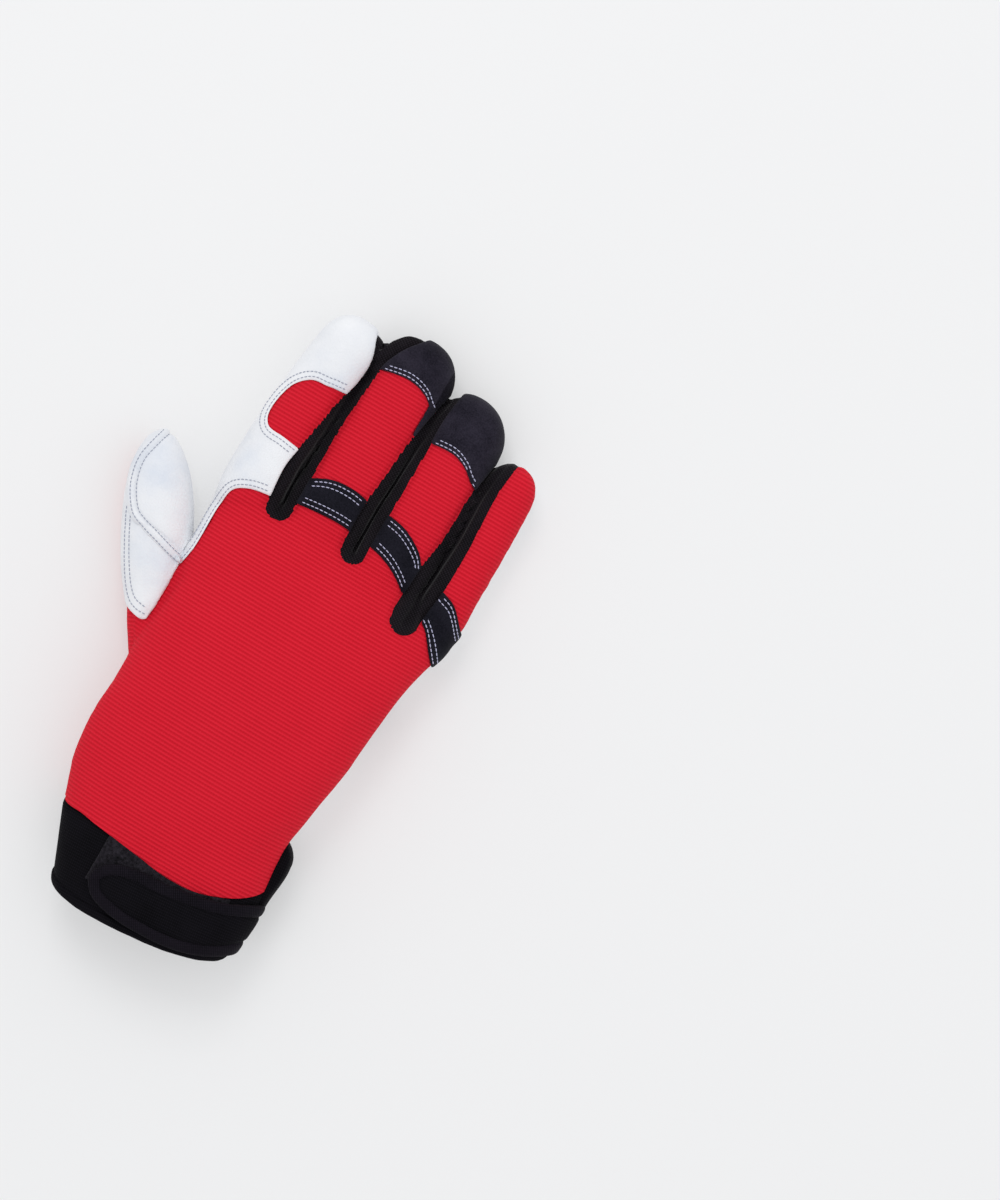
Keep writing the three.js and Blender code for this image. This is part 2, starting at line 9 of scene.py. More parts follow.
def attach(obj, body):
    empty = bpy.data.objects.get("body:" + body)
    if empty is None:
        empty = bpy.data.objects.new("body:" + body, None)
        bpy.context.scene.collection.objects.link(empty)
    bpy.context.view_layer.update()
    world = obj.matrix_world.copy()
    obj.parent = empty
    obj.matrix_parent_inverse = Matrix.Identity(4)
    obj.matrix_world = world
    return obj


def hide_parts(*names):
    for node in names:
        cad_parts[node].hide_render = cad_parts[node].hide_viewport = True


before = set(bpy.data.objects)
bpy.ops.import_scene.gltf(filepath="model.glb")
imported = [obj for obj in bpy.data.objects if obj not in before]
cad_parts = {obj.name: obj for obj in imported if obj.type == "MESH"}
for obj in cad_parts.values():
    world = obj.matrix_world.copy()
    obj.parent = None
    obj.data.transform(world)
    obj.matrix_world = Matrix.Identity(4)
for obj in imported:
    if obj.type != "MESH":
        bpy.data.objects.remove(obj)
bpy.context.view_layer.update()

# The glove is shaped in millimetres in its own frame: x to the little finger, y from the wrist to
# the fingertips, z up from the floor. settle() moves each finished piece to the row frame, in metres.
glove = {
    "middle": (-4.34, 113.29),  # the middle of the glove in plan, over the row frame's origin
    "palmLevel": 1.5,  # underside of the leather, with the palm patches under it
    "middleHeight": 20.5,  # where the raked wrist crosses its place along y
    "cell": 1.0,  # mesh cell of the glove's skin
    "clothWall": 1.4,
    "handSides": 120,
    "handRings": 70,
    "fingerSides": 72,
    "fingerRings": (40, 22),  # along a finger, and round its tip
    "tipHeight": 0.4,  # where a fingertip closes, as a share of its depth
    "smoothing": {"skin": 6, "knuckles": 45},
    "knuckles": {"from": (112, 130), "to": (146, 166), "over": (8, 16)},  # along y, and in height
    "sharpAngle": 50,  # edges sharper than this stay crisp
}
palmLevel = glove["palmLevel"]

# Sections of the hand from wrist to knuckles, in millimetres
handSections = {
    "y": [15.5, 23.5, 40, 58, 78, 98, 117, 132, 145, 153],
    "left": [-45.6, -46.2, -49.2, -49.6, -46.8, -45.2, -43.6, -41.8, -40.8, -37.5],
    "right": [37.6, 37.8, 37.8, 41.8, 46.8, 50.6, 54.2, 58.5, 61.8, 58.5],
    "depth": [33, 33.4, 35.7, 38, 39.1, 38, 34.2, 29.6, 24.3, 19],
    "rake": [0.54, 0.54, 0.4, 0.22, 0.08, 0, 0, 0, 0, 0],
    "skew": [0, 0, 0, 0, 0, 0, -0.06, -0.13, -0.17, -0.17],
}
cuffSections = {
    "place": [0, 14.7, 29.5],
    "left": [-46.2, -41.5, -37.2],
    "right": [37.8, 36.6, 33.8],
    "depth": [33.4, 33.8, 32.7],
    "rake": [0.54, 0.45, 0.36],
}
cuffSeam = 23.5

# Each finger's root in plan, lean towards the little finger in degrees, sideways bow, tuck of its
# hidden root, and over how much of its end the tip is rounded
fingers = {
    "index": dict(root=(-30.5, 150), lean=9.85, length=84.7, width=24, depth=21.5, bow=-2.2,
                  tuck=4.7, tipRound=11.5, power=2.5),
    "middle": dict(root=(-2.3, 150), lean=7.66, length=87.8, width=30.4, depth=21.5, bow=0,
                   tuck=0, tipRound=15.5, power=2.2),
    "ring": dict(root=(27.5, 146), lean=5.06, length=79.3, width=29.2, depth=21.5, bow=1.75,
                 tuck=0, tipRound=15.5, power=2.2),
    "little": dict(root=(52.8, 138), lean=4.83, length=71.3, width=20.4, depth=19.4, bow=0.7,
                   tuck=-6.7, tipRound=11, power=2.2),
    "thumb": dict(root=(-38.8, 86), lean=-22.4, length=84.6, width=24.2, depth=22.5, bow=0,
                  tuck=0, tipRound=32, power=1.8),
}
fingerShares = {
    "along": [-0.2, 0.06, 0.32, 0.58, 0.8, 1],
    "width": [0.62, 1, 1, 1, 0.98, 0.94],
    "depth": [0.55, 1.05, 1, 0.98, 0.95, 0.92],
}
thumbShares = {
    "along": [-0.15, 0.25, 0.5, 0.68, 0.82, 1],
    "width": [0.6, 0.84, 1, 1, 1, 1],
    "depth": [0.85, 1, 1.02, 0.99, 0.97, 0.95],
}

# Strips between the fingers, as seen from the back: left edge, right edge, rounded root
strips = {
    "indexMiddle": {
        "fingers": ("index", "middle"),
        "left": [(-22.6, 160), (-22.2, 172), (-20, 181), (-17, 192), (-14, 203), (-10.8, 213), (-9.6, 222),
                 (-11.6, 231), (-14, 244)],
        "right": [(-12.4, 160), (-11.3, 172), (-10.4, 185), (-8.4, 200), (-6, 213), (-4, 222), (0.5, 230),
                  (6, 236), (12, 244)],
        "root": (-17.6, 157.2), "rootRadius": 5.1, "palmRoot": (-17, 160),
    },
    "middleRing": {
        "fingers": ("middle", "ring"),
        "left": [(9.6, 156), (11, 172), (13.6, 185), (16.5, 200), (19.5, 212), (22.5, 222), (24, 240)],
        "right": [(19.6, 156), (21, 172), (22.4, 185), (24, 200), (25, 212), (27, 222), (31, 240)],
        "root": (14.6, 153.8), "rootRadius": 5, "palmRoot": (14.5, 158),
    },
    "ringLittle": {
        "fingers": ("ring", "little"),
        "left": [(37.2, 141), (39.8, 158), (43.2, 172), (45.4, 190), (48, 202), (51, 212), (54, 226)],
        "right": [(48.6, 141), (51.6, 155), (53.6, 175), (54.4, 193), (56, 203), (60, 220)],
        "root": (42.9, 138.2), "rootRadius": 5.7, "palmRoot": (45, 146),
    },
}
# The two soft ridges of a strip and the crease between them
puff = {
    "ridgeWidth": 3.4, "ridgeHeight": 2.0, "creaseDepth": 2.1, "creaseWidth": 1.7,
    "puckerDepth": 0.2, "puckerSize": 4,
}
# Leather tongues on the palm side of the fingers, in shares of the half width and of the length
palmTongues = {
    "index": dict(left=(-3, -3), right=(0.55, 0.62), tip=1.4),
    "middle": dict(left=(-0.66, -0.62), right=(0.66, 0.62), tip=0.935),
    "ring": dict(left=(-0.66, -0.62), right=(0.66, 0.62), tip=0.93),
    "little": dict(left=(-0.62, -0.55), right=(3, 3), tip=1.4),
}


def deselectAll():
    bpy.ops.object.select_all(action="DESELECT")


def choose(piece):
    deselectAll()
    piece.select_set(True)
    bpy.context.view_layer.objects.active = piece


def applyModifier(piece, kind, **settings):
    choose(piece)
    modifier = piece.modifiers.new(kind.title(), kind)
    for name, value in settings.items():
        setattr(modifier, name, value)
    bpy.ops.object.modifier_apply(modifier=modifier.name)


def valuesOf(piece, key):
    values = np.empty(len(piece.data.vertices) * 3)
    piece.data.vertices.foreach_get(key, values)
    return values.reshape(-1, 3)


def placesOf(piece):
    return valuesOf(piece, "co")


def moveTo(piece, places):
    piece.data.vertices.foreach_set("co", np.ascontiguousarray(places, float).ravel())
    piece.data.update()


def pushOut(piece, lift):  # moves each vertex along its normal
    moveTo(piece, placesOf(piece) + valuesOf(piece, "normal") * lift[:, None])


def curveThrough(places, values, wanted):  # a smooth curve through a table's rows
    places = np.asarray(places, float)
    values = np.asarray(values, float)
    slopes = np.gradient(values, places)
    i = np.clip(np.searchsorted(places, wanted, side="right") - 1, 0, len(places) - 2)
    step = places[i + 1] - places[i]
    t = (wanted - places[i]) / step
    start = (2 * t**3 - 3 * t**2 + 1) * values[i] + (t**3 - 2 * t**2 + t) * step * slopes[i]
    end = (3 * t**2 - 2 * t**3) * values[i + 1] + (t**3 - t**2) * step * slopes[i + 1]
    return start + end


def ease(value, low, high):
    t = np.clip((value - low) / (high - low), 0, 1)
    return t * t * (3 - 2 * t)


def hump(away, half):  # 1 in the middle of a crease or cord, falling off softly beside it
    return np.exp(-((away / half) ** 2))


def partWay(first, last, low, high, t):
    return first + (last - first) * (t - low) / (high - low)


def roundedLine(points, closed=True, spacing=0.8):  # a centripetal curve through a few points
    points = np.asarray(points, float)
    if closed:
        ring = np.vstack([points[-1], points, points[:2]])
    else:
        ring = np.vstack([2 * points[0] - points[1], points, 2 * points[-1] - points[-2]])
    line = []
    for a, b, c, d in zip(ring, ring[1:], ring[2:], ring[3:]):
        steps = [max(np.linalg.norm(q - p), 1e-6) ** 0.5 for p, q in ((a, b), (b, c), (c, d))]
        atA, atB, atC, atD = np.cumsum([0] + steps)
        count = max(2, int(np.linalg.norm(c - b) / spacing))
        for t in np.linspace(atB, atC, count, endpoint=False):
            ab, bc, cd = partWay(a, b, atA, atB, t), partWay(b, c, atB, atC, t), partWay(c, d, atC, atD, t)
            abc, bcd = partWay(ab, bc, atA, atC, t), partWay(bc, cd, atB, atD, t)
            line.append(partWay(abc, bcd, atB, atC, t))
    if not closed:
        line.append(points[-1])
    return np.array(line)


def distanceTo(points, line, closed=False):  # plan distance of points to a line
    ends = np.roll(line, -1, axis=0) if closed else line[1:]
    nearest = np.full(len(points), 1e9)
    for start, end in zip(line, ends):
        side = end - start
        length = side @ side
        if length < 1e-12:
            continue
        away = points - start
        t = np.clip(away @ side / length, 0, 1)
        gap = away - t[:, None] * side
        nearest = np.minimum(nearest, np.einsum("ij,ij->i", gap, gap))
    return np.sqrt(nearest)


def insideBy(places, outline):  # how far inside a closed plan outline, negative outside it
    low, high = outline.min(axis=0), outline.max(axis=0)
    outside = np.maximum(low - places[:, :2], places[:, :2] - high).max(axis=1)
    result = -np.maximum(outside, 0)
    near = outside < 6  # farther off, the distance to the outline's box is enough
    points = places[near, :2]
    inside = np.zeros(len(points), bool)
    for (ax, ay), (bx, by) in zip(outline, np.roll(outline, -1, axis=0)):
        if ay == by:
            continue
        crosses = (ay > points[:, 1]) != (by > points[:, 1])
        crossing = ax + (points[:, 1] - ay) * (bx - ax) / (by - ay)
        inside ^= crosses & (points[:, 0] < crossing)
    away = distanceTo(points, outline, closed=True)
    result[near] = np.where(inside, away, -away)
    return result


# The filled-out glove: how round a section is at its sides and back, and how flat where it lies
roundness = {"middle": 0.45, "sides": 0.84, "back": 0.92, "under": 1.35}


def sectionRing(sides, halfWidth, low, high):
    angle = 2 * np.pi * (np.arange(sides) + 0.5) / sides
    c, s = np.cos(angle), np.sin(angle)
    middle = low + roundness["middle"] * (high - low)
    across = halfWidth * np.sign(c) * np.abs(c) ** roundness["sides"]
    up = middle + (high - middle) * np.clip(s, 0, 1) ** roundness["back"]
    down = middle - (middle - low) * np.minimum(1, np.clip(-s, 0, 1) * roundness["under"])
    return across, np.where(s > 0, up, down)


def onFinger(finger, along, aside):  # plan place at millimetres along and beside a finger's line
    lean = math.radians(finger["lean"])
    share = along / finger["length"]
    bowed = finger["bow"] * np.sin(np.pi * np.clip(share, 0, 1))
    tucked = finger["tuck"] * np.clip(share / fingerShares["along"][0], 0, 1)
    across = aside + bowed + tucked
    x = finger["root"][0] + along * math.sin(lean) + across * math.cos(lean)
    y = finger["root"][1] + along * math.cos(lean) - across * math.sin(lean)
    return x, y


def fingerLine(finger, shares):  # plan points given as (across, along) shares of a finger
    half, length = finger["width"] / 2, finger["length"]
    return np.array([onFinger(finger, along * length, across * half) for across, along in shares])


def loft(name, rings, closedEnds=True):  # a tube from a grid, shaped ring by ring
    around, along = len(rings[0]), len(rings)
    deselectAll()
    bpy.ops.mesh.primitive_grid_add(x_subdivisions=around, y_subdivisions=along - 1, size=1)
    tube = bpy.context.object
    tube.name = name
    flat = placesOf(tube)
    i = np.rint((flat[:, 0] + 0.5) * around).astype(int) % around
    j = np.rint((flat[:, 1] + 0.5) * (along - 1)).astype(int)
    moveTo(tube, np.array(rings)[j, i])
    bpy.ops.object.mode_set(mode="EDIT")
    bpy.ops.mesh.select_all(action="SELECT")
    bpy.ops.mesh.remove_doubles(threshold=0.001)
    if closedEnds:
        bpy.ops.mesh.fill_holes(sides=0)
    bpy.ops.mesh.normals_make_consistent(inside=False)
    bpy.ops.object.mode_set(mode="OBJECT")
    return tube


def wristRing(sides, y, left, right, depth, rake, skew=0, grow=0):
    middle = (left + right) / 2
    across, z = sectionRing(sides, (right - left) / 2 + grow, palmLevel - grow, palmLevel + depth + grow)
    return np.column_stack([middle + across, y + skew * across - rake * (z - glove["middleHeight"]), z])


def makeHand():
    rows = handSections["y"]
    stations = np.linspace(rows[0], rows[-1], glove["handRings"])
    keys = ("left", "right", "depth", "rake", "skew")
    columns = [curveThrough(rows, handSections[key], stations) for key in keys]
    return loft("handTube", [wristRing(glove["handSides"], *row) for row in zip(stations, *columns)])


def makeFinger(name):
    finger, tipHeight = fingers[name], glove["tipHeight"]
    shares = thumbShares if name == "thumb" else fingerShares
    length, roundFrom = finger["length"], 1 - finger["tipRound"] / finger["length"]
    straightRings, tipRings = glove["fingerRings"]
    early = np.linspace(shares["along"][0], roundFrom, straightRings, endpoint=False)
    late = roundFrom + (1 - roundFrom) * np.sin(np.linspace(0, np.pi / 2, tipRings))
    rings = []
    for share in np.concatenate([early, late]):
        turn = min(max(0, (share - roundFrom) / (1 - roundFrom)), 0.9995)  # short of a sharp point
        closing = (1 - turn ** finger["power"]) ** (1 / finger["power"])
        wide = curveThrough(shares["along"], shares["width"], np.array([share]))[0] * closing
        deep = curveThrough(shares["along"], shares["depth"], np.array([share]))[0] * closing**0.8
        low = palmLevel + tipHeight * (1 - min(deep, 1)) * finger["depth"]
        high = palmLevel + (tipHeight + (1 - tipHeight) * deep) * finger["depth"]
        across, z = sectionRing(glove["fingerSides"], wide * finger["width"] / 2, low, high)
        x, y = onFinger(finger, share * length, across)
        rings.append(np.column_stack([x, y, z]))
    return loft(name + "Tube", rings)


# The side seam between back and palm, and how the seams pull the skin in
seam = {
    "span": (-100, 100),  # across the glove, well past both sides
    "handHeights": (23.94, 4.18),  # over the palm at those two places
    "fingerHeights": (13.33, 7.31),
    "knuckles": (138, 158),
    "thumbRaise": 20,
    "thumbBeside": (44.2, 46.5),
    "thumbRoot": (99, 105),
    "pull": 0.5, "pullWidth": 1.1,
    "pucker": 0.25, "puckerSize": 3.2, "puckerWidth": 4,
}


def seamHeight(places):  # drops from the thumb side to the little finger
    x, y = places[:, 0], places[:, 1]
    hand, tips = (np.interp(x, seam["span"], seam[key]) for key in ("handHeights", "fingerHeights"))
    thumb = seam["thumbRaise"] * ease(-x, *seam["thumbBeside"]) * ease(y, *seam["thumbRoot"])
    return palmLevel + hand + thumb + (tips - hand) * ease(y, *seam["knuckles"])


def stripOutline(strip):
    angles = np.radians(np.linspace(200, 340, 9))  # round the root
    centre = np.array(strip["root"])
    arc = centre + strip["rootRadius"] * np.column_stack([np.cos(angles), np.sin(angles)])
    left = roundedLine(strip["left"], closed=False, spacing=2)
    right = roundedLine(strip["right"], closed=False, spacing=2)
    return np.vstack([left[::-1], arc, right])


def tongueOutline(name):
    finger, side = fingers[name], palmTongues[name]
    rows = [along for along in (-0.4, 0, 0.25, 0.5, 0.75, 0.88, 1, 1.2) if along < side["tip"] - 0.04]
    left = [(np.interp(along, (0, 1), side["left"]), along) for along in rows]
    right = [(np.interp(along, (0, 1), side["right"]), along) for along in rows]
    end = []
    if side["tip"] < 1:
        for turn in np.linspace(0.1, 0.9, 7) * np.pi:
            across = -math.cos(turn) * side["right"][1]
            end.append((across, rows[-1] + math.sin(turn) ** 0.7 * (side["tip"] - rows[-1])))
    return fingerLine(finger, left + end + right[::-1])


stripOutlines = {name: stripOutline(strip) for name, strip in strips.items()}
tongueOutlines = {name: tongueOutline(name) for name in palmTongues}


def stripOnBack(places, name):
    return insideBy(places, stripOutlines[name])


def stripOnPalm(places, name):
    first, second = (fingers[finger] for finger in strips[name]["fingers"])
    shares = (0.2, 0.5, 0.8, 1.2)
    area = np.vstack([
        [strips[name]["palmRoot"]],
        fingerLine(first, [(0, along) for along in shares]),
        fingerLine(second, [(0, along) for along in shares[::-1]]),
    ])
    field = insideBy(places, area)
    for finger in strips[name]["fingers"]:
        field = np.minimum(field, -insideBy(places, tongueOutlines[finger]))
    return field


def anyStrip(places, side):
    return np.max([side(places, name) for name in strips], axis=0)


# Edge of the red knit under the thumb, in millimetres on the palm and then in shares of the thumb
thumbSide = np.vstack([
    [(-18, -30), (-18, 30), (-17, 53), (-20, 62), (-30, 73)],
    fingerLine(fingers["thumb"], [(-0.35, 0.25), (-0.35, 0.6), (-0.3, 1.3), (-3, 1.5), (-6, -0.5)]),
])


def onThumbSide(places):
    return insideBy(places, thumbSide)


def seamField(places):
    return places[:, 2] - seamHeight(places)


# How far the wrist seam departs from a plane over the back, along y, and the heights over which it sets in
wristDips = {
    "x": (-46, -38, -30, -10, 0, 14, 25, 38),
    "dip": (1.3, 4.6, 4.8, 1.8, -0.7, -2.2, -1.4, 0),
    "heights": (10, 20),
}


def wristDip(places):
    across = np.clip(places[:, 0], wristDips["x"][0], wristDips["x"][-1])
    return curveThrough(wristDips["x"], wristDips["dip"], across) * ease(places[:, 2], *wristDips["heights"])


def wristField(places):  # positive on the hand's side of the raked wrist seam
    rake = handSections["rake"][1]
    return places[:, 1] - cuffSeam - wristDip(places) + rake * (places[:, 2] - glove["middleHeight"])


def keepWhere(piece, field, least=0.0):  # deletes the faces whose middle is below the least value
    mesh = bmesh.new()
    mesh.from_mesh(piece.data)
    faces = list(mesh.faces)
    values = field(np.array([face.calc_center_median() for face in faces]))
    bmesh.ops.delete(mesh, geom=[f for f, value in zip(faces, values) if value < least], context="FACES")
    mesh.to_mesh(piece.data)
    mesh.free()
    piece.data.update()


def cutAlong(piece, field, where=None, snap=0.06):  # splits the faces where the field is zero
    mesh = bmesh.new()
    mesh.from_mesh(piece.data)
    verts = list(mesh.verts)
    places = np.array([vert.co for vert in verts])
    values = field(places)
    if where is not None:
        values = np.where(where(places) > -1, values, np.nan)
    values[np.abs(values) < snap] = 0
    onLine = [vert for vert, value in zip(verts, values) if value == 0]
    crossing = []
    for edge in mesh.edges:
        a, b = edge.verts
        if values[a.index] * values[b.index] < 0:
            crossing.append((edge, a, values[a.index] / (values[a.index] - values[b.index])))
    for edge, vert, share in crossing:
        onLine.append(bmesh.utils.edge_split(edge, vert, share)[1])
    bmesh.ops.connect_verts(mesh, verts=onLine)
    mesh.to_mesh(piece.data)
    mesh.free()
    piece.data.update()


# Creases of the worn leather and cloth: plan line, depth and half width in millimetres
palmCreases = [
    ([(-38, 189), (-30, 191), (-17, 189)], 1.0, 1.6),
    ([(-39, 178), (-29, 177), (-19, 180)], 0.8, 1.5),
    ([(-4, 206), (6, 208), (14, 205)], 0.7, 1.4),
    ([(-8, 188), (3, 190), (13, 187)], 0.9, 1.5),
    ([(-9, 181), (2, 181), (12, 183)], 0.6, 1.2),
    ([(24, 193), (33, 195), (43, 192)], 0.9, 1.5),
    ([(23, 179), (32, 180), (42, 179)], 0.8, 1.5),
    ([(51, 161), (58, 163), (65, 161)], 0.7, 1.4),
    ([(50, 153), (57, 155), (64, 154)], 0.6, 1.2),
    ([(-40, 124), (-35, 117), (-36, 100), (-33, 88)], 1.2, 2.2),
    ([(-43, 127), (-30, 130), (-18, 126)], 0.9, 2.0),
    ([(-10, 120), (10, 117), (34, 110)], 0.6, 2.5),
    ([(-24, 55), (-6, 50), (20, 52)], 0.6, 2.5),
]
backCreases = [
    ([(-47, 96), (-44, 104), (-41, 118)], 0.8, 2.0),
    ([(-39, 149), (-30, 152), (-24, 150)], 0.5, 1.8),
    ([(36, 48), (32, 40), (28, 30)], 0.6, 3.0),
    ([(47, 98), (43, 90), (42, 80)], 0.5, 3.0),
    ([(-66, 128), (-58, 131), (-48, 128)], 0.5, 1.6),
]


def creaseDepth(places, creases):
    depth = np.zeros(len(places))
    for line, deep, half in creases:
        away = distanceTo(places[:, :2], roundedLine(line, closed=False, spacing=1.5))
        depth = np.maximum(depth, deep * hump(away, half))
    return depth


wear = {"fold": 0.5, "foldSize": 26, "ripple": 0.22, "rippleSize": 9, "palmHold": 0.7, "steepness": 2.2}
lengthways = np.array([1, 0.5, 1])  # draws a noise out along the glove


def softNoise(places, size, seed):
    shift = Vector((seed * 13.1, seed * 7.7, seed * 3.3))
    return np.array([noise.noise(Vector(place) / size + shift) for place in places])


def facing(piece, side):  # 1 where the skin faces up, or down for a side of -1
    return np.clip(side * valuesOf(piece, "normal")[:, 2] * wear["steepness"], 0, 1)


def makeGloveForm():
    tubes = [makeHand()] + [makeFinger(name) for name in fingers]
    deselectAll()
    for tube in tubes:
        tube.select_set(True)
    bpy.context.view_layer.objects.active = tubes[0]
    bpy.ops.object.join()
    form = bpy.context.object
    form.name = "gloveForm"
    form.data.remesh_voxel_size = glove["cell"]
    bpy.ops.object.voxel_remesh()
    smoothing = glove["smoothing"]
    applyModifier(form, "SMOOTH", factor=0.5, iterations=smoothing["skin"])
    x, y, z = placesOf(form).T
    area = glove["knuckles"]
    knuckles = ease(y, *area["from"]) * (1 - ease(y, *area["to"])) * ease(z, *area["over"])
    group = form.vertex_groups.new(name="knuckles")
    for i in np.nonzero(knuckles > 0.01)[0]:
        group.add([int(i)], float(knuckles[i]), "REPLACE")
    applyModifier(form, "SMOOTH", factor=0.5, iterations=smoothing["knuckles"], vertex_group="knuckles")
    form.vertex_groups.clear()
    return form


def wearGloveForm(form):  # loose cloth and creased leather, before any seam
    places, facingDown = placesOf(form), facing(form, -1)
    leather = creaseDepth(places, palmCreases) * facingDown * (seamField(places) < 0)
    cloth = creaseDepth(places, backCreases) * facing(form, 1)
    folds = wear["fold"] * softNoise(places, wear["foldSize"], 1)
    ripples = wear["ripple"] * softNoise(places, wear["rippleSize"], 2)
    pushOut(form, (folds + ripples) * (1 - wear["palmHold"] * facingDown) - leather - cloth)


def seamForm(form):  # cuts the skin along its seams and pulls them in a little
    cutAlong(form, wristField)
    keepWhere(form, wristField)
    cutAlong(form, seamField)
    cutAlong(form, lambda p: anyStrip(p, stripOnBack), where=seamField)
    cutAlong(form, lambda p: anyStrip(p, stripOnPalm), where=lambda p: -seamField(p))
    cutAlong(form, onThumbSide, where=lambda p: -seamField(p))
    places = placesOf(form)
    above = seamField(places) > 0
    away = np.minimum.reduce([
        np.abs(np.where(above, anyStrip(places, stripOnBack), anyStrip(places, stripOnPalm))),
        np.abs(seamField(places)),
        np.where(above, 99, np.abs(onThumbSide(places))),
    ])
    puckers = seam["pucker"] * softNoise(places, seam["puckerSize"], 3) * hump(away, seam["puckerWidth"])
    pushOut(form, puckers - seam["pull"] * hump(away, seam["pullWidth"]))


def puffStrip(piece, name):  # only the side that shows on the back
    strip = strips[name]
    applyModifier(piece, "SUBSURF", levels=1, render_levels=1)
    places = placesOf(piece)
    upward = facing(piece, 1) * ease(seamField(places), -1, 1)
    t = np.clip(stripOnBack(places, name) / puff["ridgeWidth"], 0, 1)
    line = [np.add(strip["root"], (0.1, -1.6))]
    line += [np.add(l, r) / 2 for l, r in zip(strip["left"][1:6], strip["right"][1:6])]
    away = distanceTo(places[:, :2], roundedLine(line, closed=False))
    crease = puff["creaseDepth"] * hump(away, puff["creaseWidth"]) * (t > 0)
    puckers = puff["puckerDepth"] * softNoise(places * lengthways, puff["puckerSize"], 8)
    pushOut(piece, (puff["ridgeHeight"] * ease(t, 0, 1) - crease + puckers * t) * upward)


panelNames = ["knitBack", "leatherPalm", "knitThumb", *strips]


def separatePanels(form):
    for name in panelNames:
        form.data.materials.append(bpy.data.materials.new(name + "Mark"))
    middles = np.array([face.center for face in form.data.polygons])
    above = seamField(middles) > 0
    label = np.where(above, 0, np.where(onThumbSide(middles) > 0, 2, 1))
    for name in strips:
        inStrip = np.where(above, stripOnBack(middles, name), stripOnPalm(middles, name)) > 0
        label[inStrip] = panelNames.index(name)
    form.data.polygons.foreach_set("material_index", label.astype(np.int32))
    choose(form)
    bpy.ops.object.mode_set(mode="EDIT")
    bpy.ops.mesh.select_all(action="SELECT")
    bpy.ops.mesh.separate(type="MATERIAL")
    bpy.ops.object.mode_set(mode="OBJECT")
    panels = {}
    for piece in list(bpy.context.selected_objects):
        name = piece.data.materials[0].name.removesuffix("Mark")
        piece.name = name
        piece.data.materials.clear()
        panels[name] = piece
    return panels


def giveWall(piece, thickness):
    applyModifier(piece, "SOLIDIFY", thickness=thickness, offset=-1, use_even_offset=False)


def copyOf(piece, name):
    copy = piece.copy()
    copy.data = piece.data.copy()
    copy.name = name
    bpy.context.scene.collection.objects.link(copy)
    return copy


def patchOver(name, source, field, lift, wall, roll=1.2, relief=None):  # a layer sewn on the skin
    patch = copyOf(source, name)
    keepWhere(patch, field, least=-2.5)
    cutAlong(patch, field)
    keepWhere(patch, field)
    applyModifier(patch, "SUBSURF", levels=1, render_levels=1, boundary_smooth="ALL")
    places = placesOf(patch)
    depth = np.clip(field(places), 0, None)
    t = np.clip(depth / roll, 0, 1)
    rise = lift - patches["edgeDrop"] * wall * (1 - np.sqrt(1 - (1 - t) ** 2))
    if relief is not None:
        rise = rise + relief(places, depth)
    pushOut(patch, rise)
    giveWall(patch, wall)
    return patch


